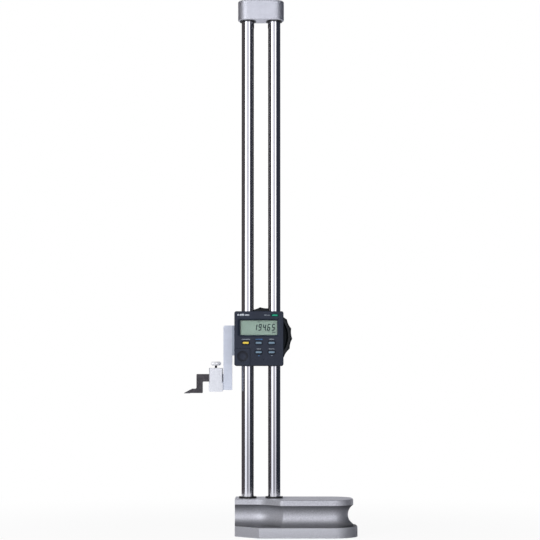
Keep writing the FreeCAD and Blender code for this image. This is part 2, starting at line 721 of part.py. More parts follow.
def top_cap():
    """Tie block with round ends across the tops of the columns."""
    half = COLUMN_X + CAP_RADIUS
    top = CAP_UNDERSIDE + CAP_HEIGHT
    solid = plan_prism([
        (-half, -CAP_RADIUS, CAP_RADIUS),
        (half, -CAP_RADIUS, CAP_RADIUS),
        (half, CAP_RADIUS, CAP_RADIUS),
        (-half, CAP_RADIUS, CAP_RADIUS),
    ], (CAP_UNDERSIDE, top))
    solid = solid.makeChamfer(CAP_EDGE, edges_at(solid, "z", top) + edges_at(solid, "z", CAP_UNDERSIDE))
    sink = top - CAP_SCREW_HEAD_HEIGHT - SCREW_CLEARANCE
    for x in (-COLUMN_X, COLUMN_X):
        solid = solid.cut(post(COLUMN_RADIUS, (CAP_UNDERSIDE, COLUMN_TOP), x))
        solid = solid.cut(post(CAP_SCREW_RADIUS + SCREW_CLEARANCE, (COLUMN_TOP, top), x))
        solid = solid.cut(post(CAP_SCREW_HEAD_RADIUS + SCREW_CLEARANCE, (sink, top), x))
    return solid


def cap_screws():
    """Socket screws down through the cap into the columns."""
    head_top = CAP_UNDERSIDE + CAP_HEIGHT - SCREW_CLEARANCE
    length = head_top - CAP_SCREW_HEAD_HEIGHT - COLUMN_TOP + CAP_SCREW_GRIP
    screw = socket_screw(CAP_SCREW_RADIUS, length, CAP_SCREW_HEAD_RADIUS, CAP_SCREW_HEAD_HEIGHT)
    return both_columns(lambda x: aimed(screw, Z_AXIS, Vector(x, 0, head_top)))


def cover_screw_places():
    """Places of the four rear cover screws, as (x, z)."""
    inset = COVER_SCREW_INSET
    return [
        (x, z)
        for x in (inset - COVER_LEFT, COVER_RIGHT - inset)
        for z in (FEED_HEIGHT - COVER_BELOW + inset, FEED_HEIGHT + COVER_ABOVE - inset)
    ]


def plate_screw_places():
    """Places of the four back plate screws, as (x, z)."""
    inset = PLATE_SCREW_INSET
    return [
        (x, z)
        for x in (inset - BODY_LEFT, BODY_RIGHT - inset)
        for z in (BODY_LOW + inset, BODY_HIGH - inset)
    ]


def slider_body():
    """Slider block: column bores, gear pocket and the holes of what it carries."""
    solid = plan_prism([
        (-BODY_LEFT, BODY_FRONT, 0),
        (BODY_RIGHT, BODY_FRONT, 0),
        (BODY_RIGHT, BODY_BACK, BODY_CORNER_RADIUS),
        (-BODY_LEFT, BODY_BACK, BODY_CORNER_RADIUS),
    ], (BODY_LOW, BODY_HIGH))
    pocket_x = (-POCKET_HALF_WIDTH, POCKET_HALF_WIDTH)
    cuts = [block(pocket_x, (POCKET_FRONT, BODY_BACK), (POCKET_LOW, POCKET_HIGH))]
    for x in (-COLUMN_X, COLUMN_X):
        cuts.append(post(COLUMN_RADIUS + BORE_RELIEF, (BODY_LOW, BODY_HIGH), x))
        cuts.append(post(BUSH_RADIUS, (BODY_LOW, BODY_LOW + BUSH_LENGTH), x))
        cuts.append(post(BUSH_RADIUS, (BODY_HIGH - BUSH_LENGTH, BODY_HIGH), x))
    cuts.append(rod(FEED_BUSH_RADIUS, (POCKET_FRONT - FEED_BUSH_LENGTH, POCKET_FRONT), FEED_X, FEED_HEIGHT))
    cuts.append(rod(ENCODER_BUSH_RADIUS, (BODY_FRONT, POCKET_FRONT), ENCODER_X, ENCODER_HEIGHT))
    cuts.append(rod(CLAMP_BORE, (0, BODY_BACK), -COLUMN_X, CLAMP_HEIGHT))
    for x, z in cover_screw_places():
        cuts.append(rod(COVER_SCREW_RADIUS, (BODY_BACK - COVER_SCREW_DEPTH, BODY_BACK), x, z))
    for x, z in plate_screw_places():
        cuts.append(rod(PLATE_SCREW_RADIUS, (BODY_FRONT, BODY_FRONT + PLATE_SCREW_DEPTH), x, z))
    cuts.append(rod(CASE_SCREW_RADIUS, (BODY_FRONT, BODY_FRONT + PLATE_SCREW_DEPTH), PLUG_X, PLUG_Z))
    for z in BRACKET_SCREW_HEIGHTS:
        start = Vector(-BODY_LEFT, 0, z)
        cuts.append(Part.makeCylinder(BRACKET_SCREW_RADIUS, BRACKET_SCREW_GRIP, start, X_AXIS))
    return solid.cut(cuts)


def column_bush(x, low):
    """Bush of one column, with its lower end at low."""
    return ring(BUSH_RADIUS, BUSH_BORE, (low, low + BUSH_LENGTH), x)


def feed_bush_front():
    """Bush at the front end of the feed shaft, sunk in the pocket's floor."""
    span = (POCKET_FRONT - FEED_BUSH_LENGTH, POCKET_FRONT)
    return sleeve(FEED_BUSH_RADIUS, FEED_BORE, span, FEED_X, FEED_HEIGHT)


def feed_bush_rear():
    """Bush of the feed shaft in the rear cover's boss."""
    return sleeve(FEED_BUSH_RADIUS, FEED_BORE, (BODY_BACK, BOSS_END), FEED_X, FEED_HEIGHT)


def encoder_bush():
    """Bush of the encoder shaft through the front wall of the body."""
    return sleeve(ENCODER_BUSH_RADIUS, ENCODER_BORE, (BODY_FRONT, POCKET_FRONT), ENCODER_X, ENCODER_HEIGHT)


def gear_cover():
    """Rear cover of the gear pocket, with the boss of the feed shaft."""
    x = (-COVER_LEFT, COVER_RIGHT)
    z = (FEED_HEIGHT - COVER_BELOW, FEED_HEIGHT + COVER_ABOVE)
    plate = front_prism(rectangle(x, z, COVER_CORNER_RADIUS), (BODY_BACK, COVER_BACK))
    plate = plate.makeChamfer(COVER_EDGE, edges_at(plate, "y", COVER_BACK))
    boss = turned([
        (0, BODY_BACK),
        (BOSS_RADIUS, BODY_BACK),
        (BOSS_RADIUS, BOSS_END - BOSS_EDGE),
        (BOSS_RADIUS - BOSS_EDGE, BOSS_END),
        (0, BOSS_END),
    ], FEED_X, FEED_HEIGHT)
    solid = plate.fuse(boss)
    cuts = [
        rod(FEED_BUSH_RADIUS, (BODY_BACK, BOSS_END), FEED_X, FEED_HEIGHT),
        rod(CLAMP_HUB_RADIUS + CLAMP_HUB_MARGIN, (BODY_BACK, BOSS_END), -COLUMN_X, CLAMP_HEIGHT),
    ]
    for x, z in cover_screw_places():
        cuts.append(rod(COVER_SCREW_RADIUS, (BODY_BACK, COVER_BACK), x, z))
        cuts.append(rod(COVER_SCREW_HEAD + SCREW_CLEARANCE, (COVER_SCREW_SEAT, COVER_BACK), x, z))
    return solid.cut(cuts)


def cover_screws():
    """Four screws of the rear cover."""
    length = COVER_SCREW_SEAT - BODY_BACK + COVER_SCREW_DEPTH
    screw = socket_screw(COVER_SCREW_RADIUS, length, COVER_SCREW_HEAD, COVER_SCREW_HEAD_HEIGHT)
    head_top = COVER_SCREW_SEAT + COVER_SCREW_HEAD_HEIGHT
    return group([aimed(screw, Y_AXIS, Vector(x, head_top, z)) for x, z in cover_screw_places()])


def flank_angle(radius):
    """Angle from a pinion tooth's centre to its involute flank at a radius."""
    base_radius = PITCH_RADIUS * math.cos(PRESSURE_ANGLE)
    at_pitch = math.pi / (2 * PINION_TEETH) - BACKLASH / (4 * PITCH_RADIUS)
    pressure = math.acos(min(1.0, base_radius / radius))
    involute = math.tan(pressure) - pressure
    return at_pitch + math.tan(PRESSURE_ANGLE) - PRESSURE_ANGLE - involute


def pinion(x, z, facing, y):
    """Pinion over the span y, with a tooth space at the angle facing in the front view."""
    base_radius = PITCH_RADIUS * math.cos(PRESSURE_ANGLE)
    step = 2 * math.pi / PINION_TEETH
    root = flank_angle(base_radius)
    middle = flank_angle(PITCH_RADIUS)
    tip = flank_angle(TIP_RADIUS)

    def point(radius, angle):
        return Vector(x + radius * math.cos(angle), y[0], z + radius * math.sin(angle))

    edges = []
    for tooth in range(PINION_TEETH):
        centre = facing + (tooth + 0.5) * step
        foot = point(ROOT_RADIUS, centre - root)
        rise = point(base_radius, centre - root)
        crest = point(TIP_RADIUS, centre - tip)
        fall = point(TIP_RADIUS, centre + tip)
        heel = point(base_radius, centre + root)
        space = point(ROOT_RADIUS, centre + root)
        curves = [
            Part.LineSegment(foot, rise),
            Part.Arc(rise, point(PITCH_RADIUS, centre - middle), crest),
            Part.LineSegment(crest, fall),
            Part.Arc(fall, point(PITCH_RADIUS, centre + middle), heel),
            Part.LineSegment(heel, space),
            Part.LineSegment(space, point(ROOT_RADIUS, centre + step - root)),
        ]
        edges.extend(curve.toShape() for curve in curves)
    return Part.Face(Part.Wire(edges)).extrude(Vector(0, y[1] - y[0], 0))


def feed_shaft():
    """Feed shaft with its pinion, from the front bush out to the handwheel."""
    teeth = pinion(FEED_X, FEED_HEIGHT, 0.0, (-PINION_WIDTH / 2, PINION_WIDTH / 2))
    shaft = rod(FEED_SHAFT_RADIUS, (FEED_SHAFT_FRONT, WHEEL_HUB_BACK), FEED_X, FEED_HEIGHT)
    tapped = rod(WHEEL_SCREW_RADIUS, (WHEEL_HUB_BACK - WHEEL_SCREW_GRIP, WHEEL_HUB_BACK), FEED_X, FEED_HEIGHT)
    return teeth.fuse(shaft).cut(tapped)


def thrust_washer():
    """Washer between the boss and the handwheel's hub."""
    span = (BOSS_END + RUNNING, WHEEL_HUB_FRONT)
    return sleeve(WHEEL_HUB_RADIUS - WASHER_INSET, FEED_SHAFT_RADIUS, span, FEED_X, FEED_HEIGHT)


def handwheel():
    """Lobed handwheel: dished web, thick rim, scalloped edge and a finger dimple."""
    rim_inner = WHEEL_RADIUS - WHEEL_RIM_THICKNESS
    web_front = WHEEL_FRONT + WHEEL_DISH
    wheel = turned([
        (FEED_SHAFT_RADIUS, WHEEL_HUB_FRONT),
        (WHEEL_HUB_RADIUS, WHEEL_HUB_FRONT),
        (WHEEL_HUB_RADIUS, web_front + WHEEL_DISH),
        (rim_inner - WHEEL_EDGE, web_front),
        (rim_inner, web_front - WHEEL_EDGE / 2),
        (rim_inner, WHEEL_FRONT + WHEEL_EDGE),
        (rim_inner + WHEEL_EDGE, WHEEL_FRONT),
        (WHEEL_RADIUS - WHEEL_NOTCH_DEPTH - WHEEL_EDGE, WHEEL_FRONT),
        (WHEEL_RADIUS, WHEEL_FRONT + WHEEL_NOTCH_DEPTH + WHEEL_EDGE),
        (WHEEL_RADIUS, WHEEL_BACK - WHEEL_NOTCH_DEPTH - WHEEL_EDGE),
        (WHEEL_RADIUS - WHEEL_NOTCH_DEPTH - WHEEL_EDGE, WHEEL_BACK),
        (rim_inner - WHEEL_EDGE, WHEEL_BACK),
        (rim_inner - WHEEL_EDGE - WHEEL_DRAFT, web_front + WHEEL_DISH + WHEEL_WEB),
        (WHEEL_HUB_RADIUS, web_front + WHEEL_DISH + WHEEL_WEB),
        (WHEEL_HUB_RADIUS - WHEEL_HUB_EDGE, WHEEL_HUB_BACK + WHEEL_SCREW_HEAD_HEIGHT),
        (WHEEL_SCREW_HEAD_RADIUS + SCREW_CLEARANCE, WHEEL_HUB_BACK + WHEEL_SCREW_HEAD_HEIGHT),
        (WHEEL_SCREW_HEAD_RADIUS + SCREW_CLEARANCE, WHEEL_HUB_BACK),
        (FEED_SHAFT_RADIUS, WHEEL_HUB_BACK),
    ], FEED_X, FEED_HEIGHT)
    reach = WHEEL_RADIUS - WHEEL_NOTCH_DEPTH + WHEEL_NOTCH_RADIUS
    cuts = []
    for index in range(WHEEL_LOBES):
        angle = 2 * math.pi * (index + 0.5) / WHEEL_LOBES + math.radians(WHEEL_PHASE)
        x = FEED_X + reach * math.cos(angle)
        z = FEED_HEIGHT + reach * math.sin(angle)
        cuts.append(rod(WHEEL_NOTCH_RADIUS, (WHEEL_FRONT, WHEEL_BACK), x, z))
    ball_radius = (DIMPLE_RADIUS ** 2 + DIMPLE_DEPTH ** 2) / (2 * DIMPLE_DEPTH)
    web_back = web_front + WHEEL_DISH + WHEEL_WEB
    ball = Vector(FEED_X, web_back - DIMPLE_DEPTH + ball_radius, FEED_HEIGHT + DIMPLE_REACH)
    cuts.append(Part.makeSphere(ball_radius, ball).common(
        rod(DIMPLE_RADIUS, (WHEEL_FRONT, WHEEL_BACK), FEED_X, FEED_HEIGHT + DIMPLE_REACH)))
    return wheel.cut(cuts)


def wheel_screw():
    """Screw that holds the handwheel on its shaft."""
    height = WHEEL_SCREW_HEAD_HEIGHT
    screw = socket_screw(WHEEL_SCREW_RADIUS, WHEEL_SCREW_GRIP, WHEEL_SCREW_HEAD_RADIUS, height)
    return aimed(screw, Y_AXIS, Vector(FEED_X, WHEEL_HUB_BACK + height, FEED_HEIGHT))


def encoder_shaft():
    """Encoder shaft with its pinion, from the pocket forward to the disc."""
    teeth = pinion(ENCODER_X, ENCODER_HEIGHT, math.pi, (-PINION_WIDTH / 2, PINION_WIDTH / 2))
    shaft = rod(ENCODER_SHAFT_RADIUS, (DISC_FRONT, PINION_WIDTH / 2), ENCODER_X, ENCODER_HEIGHT)
    return teeth.fuse(shaft).removeSplitter()


def encoder_disc():
    """Code disc with its hub, on the front end of the encoder shaft."""
    span = (DISC_FRONT, DISC_FRONT + ENCODER_DISC_THICKNESS)
    hub = (DISC_FRONT, DISC_FRONT + 2.5 * ENCODER_DISC_THICKNESS)
    disc = rod(ENCODER_DISC_RADIUS, span, ENCODER_X, ENCODER_HEIGHT)
    disc = disc.fuse(rod(ENCODER_SHAFT_RADIUS * 2, hub, ENCODER_X, ENCODER_HEIGHT))
    return disc.cut(rod(ENCODER_SHAFT_RADIUS, hub, ENCODER_X, ENCODER_HEIGHT))


def clamp_pad():
    """Soft pad between the clamp screw and the left column."""
    radius = CLAMP_BORE - RUNNING
    pad = rod(radius, (0, CLAMP_PAD_BACK), -COLUMN_X, CLAMP_HEIGHT)
    height = (CLAMP_HEIGHT - radius, CLAMP_HEIGHT + radius)
    return pad.cut(post(COLUMN_RADIUS + RUNNING, height, -COLUMN_X))


def clamp_screw():
    """Threaded stud of the slider clamp."""
    end = CLAMP_HUB_FRONT + CLAMP_HUB_LENGTH - CLAMP_HUB_CROWN
    return rod(CLAMP_SCREW_RADIUS, (CLAMP_PAD_BACK + RUNNING, end), -COLUMN_X, CLAMP_HEIGHT)


def clamp_lever():
    """Lever of the slider clamp, pointing down and to the left."""
    hub_back = CLAMP_HUB_FRONT + CLAMP_HUB_LENGTH
    hub = turned([
        (0, CLAMP_HUB_FRONT),
        (CLAMP_HUB_RADIUS, CLAMP_HUB_FRONT),
        (CLAMP_HUB_RADIUS, hub_back - CLAMP_HUB_EDGE),
        (CLAMP_HUB_RADIUS - CLAMP_HUB_EDGE, hub_back),
        (0, hub_back),
    ], 0, 0)
    tip = CLAMP_LEVER_WIDTH / 2
    root = tip * (1 - CLAMP_LEVER_TAPER)
    arm_front = CLAMP_HUB_FRONT + CLAMP_LEVER_STANDOFF
    arm = front_prism([
        (0, -root, 0),
        (0, root, 0),
        (-CLAMP_LEVER_LENGTH, tip, tip * 0.9),
        (-CLAMP_LEVER_LENGTH, -tip, tip * 0.9),
    ], (arm_front, arm_front + CLAMP_LEVER_THICKNESS))
    lever = hub.fuse(arm)
    lever = lever.cut(rod(CLAMP_SCREW_RADIUS, (CLAMP_HUB_FRONT, hub_back - CLAMP_HUB_CROWN), 0, 0))
    lever.rotate(ORIGIN, Y_AXIS, -CLAMP_LEVER_ANGLE)
    lever.translate(Vector(-COLUMN_X, 0, CLAMP_HEIGHT))
    return lever


def housing_outline(inset):
    """Front-view corners of the display unit, moved inwards by inset."""
    x = (inset - HOUSING_LEFT, HOUSING_RIGHT - inset)
    z = (HOUSING_LOW + inset, HOUSING_HIGH - inset)
    return rectangle(x, z, max(HOUSING_CORNER_RADIUS - inset, HOUSING_INNER_RADIUS))


def bezel_wire(x, z, sag, y):
    """Rounded rectangle at y whose lower side bows down by sag."""
    wire = front_wire(rectangle(x, z, BEZEL_CORNER_RADIUS), y)
    edges = []
    for edge in wire.Edges:
        flat = abs(edge.Vertexes[0].Z - z[0]) < 1e-6 and abs(edge.Vertexes[-1].Z - z[0]) < 1e-6
        if flat and sag > 0:
            middle = Vector((x[0] + x[1]) / 2, y, z[0] - sag)
            edge = Part.Arc(edge.Vertexes[0].Point, middle, edge.Vertexes[-1].Point).toShape()
        edges.append(edge)
    return Part.Wire(edges)


def front_housing():
    """Moulded shell: face, side walls, battery bay, bezel, wells and screw tube."""
    shell = front_prism(housing_outline(0.0), (-HOUSING_FRONT, PLATE_FRONT))
    shell = shell.makeChamfer(HOUSING_EDGE, edges_at(shell, "y", -HOUSING_FRONT))
    shell = shell.cut(front_prism(housing_outline(HOUSING_WALL), (FACE_BACK, PLATE_FRONT)))
    wall = HOUSING_WALL / 2
    bay_x = (BAY_X[0] + wall, BAY_X[1] + wall)
    bay_z = (BAY_Z[0] + wall, BAY_Z[1] + wall)
    bay = block(bay_x, (FACE_BACK - MELT, BAY_BACK), bay_z)
    tube = rod(CASE_BOSS_RADIUS, (FACE_BACK - MELT, PLATE_FRONT), PLUG_X, PLUG_Z)
    shell = shell.fuse([bay, tube]).removeSplitter()
    outer = bezel_wire((-BEZEL_LEFT, BEZEL_RIGHT), (FEED_HEIGHT + BEZEL_LOW, FEED_HEIGHT + BEZEL_HIGH),
                       BEZEL_SAG, -HOUSING_FRONT)
    inner = bezel_wire(SCREEN_X, SCREEN_Z, 0.0, BEZEL_DEPTH - HOUSING_FRONT)
    well = (-HOUSING_FRONT, BUTTON_WELL_DEPTH - HOUSING_FRONT)
    cuts = [
        Part.makeLoft([outer, inner], True, True),
        front_prism(rectangle(SCREEN_X, SCREEN_Z, BEZEL_CORNER_RADIUS), (-HOUSING_FRONT, FACE_BACK)),
        rod(PLUG_RADIUS, (-HOUSING_FRONT, CASE_SCREW_TOP + CASE_SCREW_HEAD_HEIGHT), PLUG_X, PLUG_Z),
        rod(CASE_SCREW_RADIUS + RUNNING, (CASE_SCREW_TOP, PLATE_FRONT), PLUG_X, PLUG_Z),
        pill((LENS_X, LENS_Z), LENS_WELL_WIDTH, LENS_WELL_HEIGHT, well),
        pill((LENS_X, LENS_Z), LENS_WIDTH, LENS_HEIGHT, (-HOUSING_FRONT, FACE_BACK)),
    ]
    for place in BUTTONS.values():
        cuts.append(pill(place, BUTTON_WELL_WIDTH, BUTTON_WELL_HEIGHT, well))
        width = BUTTON_WIDTH + 2 * SLIDING
        cuts.append(pill(place, width, BUTTON_HEIGHT + 2 * SLIDING, (-HOUSING_FRONT, FACE_BACK)))
    cuts.append(block((BAY_X[0], BAY_X[1]), (-HOUSING_FRONT, BAY_FACE), BAY_Z))
    for z in RAIL_HEIGHTS:
        cuts.append(battery_rail(z, SEAM, BAY_X))
    cuts.append(rod(BATTERY_RADIUS + SEAM, (BAY_FACE, WELL_BACK), BATTERY_X, BATTERY_Z))
    wall_x = (HOUSING_RIGHT - HOUSING_WALL, HOUSING_RIGHT)
    cuts.append(block(wall_x, (BOARD_BACK, BOARD_BACK + SOCKET_DEPTH), SOCKET_Z))
    return shell.cut(cuts)


def battery_rail(z, gap, x):
    """Dovetail rail along X behind the battery cover, grown by gap."""
    half_neck = RAIL_WIDTH / 2 + gap
    half_back = half_neck + RAIL_FLARE
    front = BAY_FACE - SEAM
    back = front + RAIL_DEPTH + gap
    outline = Part.makePolygon([
        Vector(x[0], front, z - half_neck),
        Vector(x[0], back, z - half_back),
        Vector(x[0], back, z + half_back),
        Vector(x[0], front, z + half_neck),
        Vector(x[0], front, z - half_neck),
    ])
    return Part.Face(outline).extrude(Vector(x[1] - x[0], 0, 0))


def battery_cover():
    """Sliding battery cover with a thumb dish and two dovetail rails."""
    x = (BAY_X[0], BAY_X[1] - SEAM)
    z = (BAY_Z[0], BAY_Z[1] - SEAM)
    back = COVER_PLATE - HOUSING_FRONT
    shell = front_prism(housing_outline(0.0), (-HOUSING_FRONT, PLATE_FRONT))
    shell = shell.makeChamfer(HOUSING_EDGE, edges_at(shell, "y", -HOUSING_FRONT))
    plate = block(x, (-HOUSING_FRONT, back), z)
    plate = plate.makeChamfer(COVER_PLATE_EDGE, [
        edge
        for edge in edges_at(plate, "y", -HOUSING_FRONT)
        if abs(edge.CenterOfMass.x - x[1]) < 1e-6 or abs(edge.CenterOfMass.z - z[1]) < 1e-6
    ])
    plate = plate.common(shell)
    ball_radius = (DISH_RADIUS ** 2 + DISH_DEPTH ** 2) / (2 * DISH_DEPTH)
    ball = Vector(BAY_X[0] + DISH_INSET, DISH_DEPTH - HOUSING_FRONT - ball_radius, BAY_Z[0] + DISH_LIFT)
    plate = plate.cut(Part.makeSphere(ball_radius, ball))
    rail_x = (BAY_X[0] + HOUSING_EDGE, BAY_X[1] - RAIL_END)
    rails = [battery_rail(z, 0.0, rail_x) for z in RAIL_HEIGHTS]
    return plate.fuse(rails).removeSplitter()


def lcd_window():
    """Clear window: a pane in the opening and a rim behind the face."""
    gap = SLIDING
    x = (SCREEN_X[0] + gap, SCREEN_X[1] - gap)
    z = (SCREEN_Z[0] + gap, SCREEN_Z[1] - gap)
    pane = front_prism(rectangle(x, z, BEZEL_CORNER_RADIUS), (BEZEL_DEPTH - HOUSING_FRONT, WINDOW_BACK))
    rim = block((x[0] - WINDOW_RIM, x[1] + WINDOW_RIM), (FACE_BACK, WINDOW_BACK),
                (z[0] - WINDOW_RIM, z[1] + WINDOW_RIM))
    return pane.fuse(rim).removeSplitter()


def lcd_panel():
    """Display glass behind the window."""
    x = (SCREEN_X[0] - WINDOW_RIM, SCREEN_X[1] + WINDOW_RIM)
    z = (SCREEN_Z[0] - WINDOW_RIM, SCREEN_Z[1] + WINDOW_RIM)
    return block(x, (WINDOW_BACK, PANEL_BACK), z)


def lcd_carrier():
    """Frame between the display glass and the circuit board."""
    x = (SCREEN_X[0] - WINDOW_RIM, SCREEN_X[1] + WINDOW_RIM)
    z = (SCREEN_Z[0] - WINDOW_RIM, SCREEN_Z[1] + WINDOW_RIM)
    wall = CARRIER_WALL
    frame = block(x, (PANEL_BACK, BOARD_FRONT), z)
    return frame.cut(block((x[0] + wall, x[1] - wall), (PANEL_BACK, BOARD_FRONT), (z[0] + wall, z[1] - wall)))


def circuit_board():
    """Circuit board, clear of the screw tube."""
    inset = HOUSING_WALL + BOARD_GAP
    board = block((inset - HOUSING_LEFT, HOUSING_RIGHT - inset), (BOARD_FRONT, BOARD_BACK),
                  (HOUSING_LOW + inset, HOUSING_HIGH - inset))
    return board.cut(rod(CASE_BOSS_RADIUS + SCREW_CLEARANCE, (BOARD_FRONT, BOARD_BACK), PLUG_X, PLUG_Z))


def key_switches():
    """One switch on the board behind each button."""
    half = SWITCH_SIDE / 2
    switches = []
    for x, z in BUTTONS.values():
        body = block((x - half, x + half), (BOARD_FRONT - SWITCH_HEIGHT * 0.7, BOARD_FRONT), (z - half, z + half))
        plunger = rod(BUTTON_STEM_RADIUS * 1.3, (BOARD_FRONT - SWITCH_HEIGHT, BOARD_FRONT), x, z)
        switches.append(body.fuse(plunger))
    return group(switches)


def button(place):
    """Push button: bar with softened edge, hidden flange and stem."""
    bar = pill(place, BUTTON_WIDTH, BUTTON_HEIGHT, (BUTTON_CAP_FRONT, FLANGE_FRONT))
    bar = bar.makeChamfer(BUTTON_EDGE, edges_at(bar, "y", BUTTON_CAP_FRONT))
    rim = 2 * BUTTON_FLANGE_RIM
    flange = pill(place, BUTTON_WIDTH + rim, BUTTON_HEIGHT + rim, (FLANGE_FRONT, FLANGE_BACK))
    stem = rod(BUTTON_STEM_RADIUS, (FLANGE_BACK, STEM_END), place[0], place[1])
    return bar.fuse([flange, stem])


def indicator_lens():
    """Bar lens of the indicator, with a rim behind the face."""
    place = (LENS_X, LENS_Z)
    width = LENS_WIDTH - 2 * SLIDING
    height = LENS_HEIGHT - 2 * SLIDING
    front = BUTTON_WELL_DEPTH * 0.25 - HOUSING_FRONT
    bar = pill(place, width, height, (front, FACE_BACK))
    bar = bar.makeChamfer(BUTTON_EDGE, edges_at(bar, "y", front))
    rim = 2 * BUTTON_FLANGE_RIM
    return bar.fuse(pill(place, width + rim, height + rim, (FACE_BACK, FACE_BACK + BUTTON_FLANGE)))


def screw_plug():
    """Small round plug over the case screw, dished in front."""
    gap = SLIDING
    plug = rod(PLUG_RADIUS - gap, (-HOUSING_FRONT, PLUG_LENGTH - HOUSING_FRONT), PLUG_X, PLUG_Z)
    dish = PLUG_RADIUS * 0.75
    depth = dish * 0.25
    ball_radius = (dish ** 2 + depth ** 2) / (2 * depth)
    return plug.cut(Part.makeSphere(ball_radius, Vector(PLUG_X, depth - HOUSING_FRONT - ball_radius, PLUG_Z)))


def case_screw():
    """Long screw through the shell's tube and the plate into the slider body."""
    length = BODY_FRONT + PLATE_SCREW_DEPTH - CASE_SCREW_TOP
    head = PLUG_RADIUS - SCREW_CLEARANCE
    screw = socket_screw(CASE_SCREW_RADIUS, length, head, CASE_SCREW_HEAD_HEIGHT)
    return aimed(screw, -Y_AXIS, Vector(PLUG_X, CASE_SCREW_TOP - CASE_SCREW_HEAD_HEIGHT, PLUG_Z))


def back_plate():
    """Plate that closes the shell and sits on the slider body."""
    plate = front_prism(housing_outline(0.0), (PLATE_FRONT, BODY_FRONT))
    cuts = [
        rod(ENCODER_SHAFT_RADIUS * 2, (PLATE_FRONT, BODY_FRONT), ENCODER_X, ENCODER_HEIGHT),
        rod(CASE_SCREW_RADIUS, (PLATE_FRONT, BODY_FRONT), PLUG_X, PLUG_Z),
    ]
    for x, z in plate_screw_places():
        cuts.append(rod(PLATE_SCREW_RADIUS, (PLATE_FRONT, BODY_FRONT), x, z))
    return plate.cut(cuts)


def plate_screws():
    """Four screws that hold the plate on the slider body."""
    length = PLATE_THICKNESS + PLATE_SCREW_DEPTH
    screw = socket_screw(PLATE_SCREW_RADIUS, length, PLATE_SCREW_HEAD, PLATE_SCREW_HEAD_HEIGHT)
    head_top = PLATE_FRONT - PLATE_SCREW_HEAD_HEIGHT
    return group([aimed(screw, -Y_AXIS, Vector(x, head_top, z)) for x, z in plate_screw_places()])


def battery_cell():
    """Button cell in the bay."""
    cell = rod(BATTERY_RADIUS, (BATTERY_BACK - BATTERY_THICKNESS, BATTERY_BACK), BATTERY_X, BATTERY_Z)
    return cell.makeChamfer(BATTERY_EDGE, edges_at(cell, "y", BATTERY_BACK - BATTERY_THICKNESS))


def battery_contact():
    """Contact strip under the cell."""
    half_long = CONTACT_LENGTH / 2
    half_wide = CONTACT_WIDTH / 2
    return block((BATTERY_X - half_long, BATTERY_X + half_long), (BATTERY_BACK, WELL_BACK),
                 (BATTERY_Z - half_wide, BATTERY_Z + half_wide))


def encoder_reader():
    """Reader head on the back of the board, facing the code disc."""
    half = READER_WIDTH / 2
    return block((ENCODER_X - half, ENCODER_X + half), (BOARD_BACK, DISC_FRONT - READER_GAP),
                 (READER_Z, READER_Z + READER_HEIGHT))


def output_connector():
    """Output socket behind the board, open through the right wall."""
    x = (HOUSING_RIGHT - SOCKET_LONG, HOUSING_RIGHT - SEAM)
    y = (BOARD_BACK, BOARD_BACK + SOCKET_DEPTH - SEAM)
    z = (SOCKET_Z[0] + SEAM, SOCKET_Z[1] - SEAM)
    mouth = block((x[1] - SOCKET_REACH, x[1]), (y[0] + SOCKET_WALL, y[1] - SOCKET_WALL),
                  (z[0] + SOCKET_WALL, z[1] - SOCKET_WALL))
    return block(x, y, z).cut(mouth)


def bracket():
    """L-shaped steel arm that carries the scriber clamp."""
    half = ARM_DEPTH / 2
    arm = block((ARM_LEFT, SPACER_LEFT), (-half, half), (FOOT_LOW, BRACKET_TOP))
    corner = [
        edge
        for edge in edges_along(arm, Y_AXIS)
        if abs(edge.CenterOfMass.x - ARM_LEFT) < 1e-6 and abs(edge.CenterOfMass.z - BRACKET_TOP) < 1e-6
    ]
    arm = arm.makeChamfer(ARM_CHAMFER, corner)
    half = SHANK_DEPTH / 2
    foot = block((ARM_LEFT - FOOT_LENGTH, ARM_LEFT + 1.0), (-half, half), (FOOT_LOW, FOOT_HIGH))
    solid = arm.fuse(foot).removeSplitter()
    hole = BRACKET_SCREW_RADIUS + SCREW_CLEARANCE
    recess = BRACKET_SCREW_HEAD_RADIUS + SCREW_CLEARANCE
    sink = BRACKET_SCREW_HEAD_HEIGHT + SCREW_CLEARANCE
    for z in BRACKET_SCREW_HEIGHTS:
        start = Vector(ARM_LEFT, 0, z)
        solid = solid.cut(Part.makeCylinder(hole, ARM_WIDTH, start, X_AXIS))
        solid = solid.cut(Part.makeCylinder(recess, sink, start, X_AXIS))
    return solid


def bracket_block():
    """Spacer block between the arm and the slider body."""
    half = ARM_DEPTH / 2
    solid = block((SPACER_LEFT, -BODY_LEFT), (-half, half), (SPACER_LOW, BRACKET_TOP))
    for z in BRACKET_SCREW_HEIGHTS:
        start = Vector(SPACER_LEFT, 0, z)
        hole = Part.makeCylinder(BRACKET_SCREW_RADIUS + SCREW_CLEARANCE, SPACER_THICKNESS, start, X_AXIS)
        solid = solid.cut(hole)
    return solid


def bracket_screws():
    """Two socket screws through the arm and spacer into the slider body."""
    head_top = ARM_LEFT + SCREW_CLEARANCE
    length = -BODY_LEFT + BRACKET_SCREW_GRIP - head_top - BRACKET_SCREW_HEAD_HEIGHT
    screw = socket_screw(BRACKET_SCREW_RADIUS, length, BRACKET_SCREW_HEAD_RADIUS, BRACKET_SCREW_HEAD_HEIGHT)
    return group([aimed(screw, -X_AXIS, Vector(head_top, 0, z)) for z in BRACKET_SCREW_HEIGHTS])


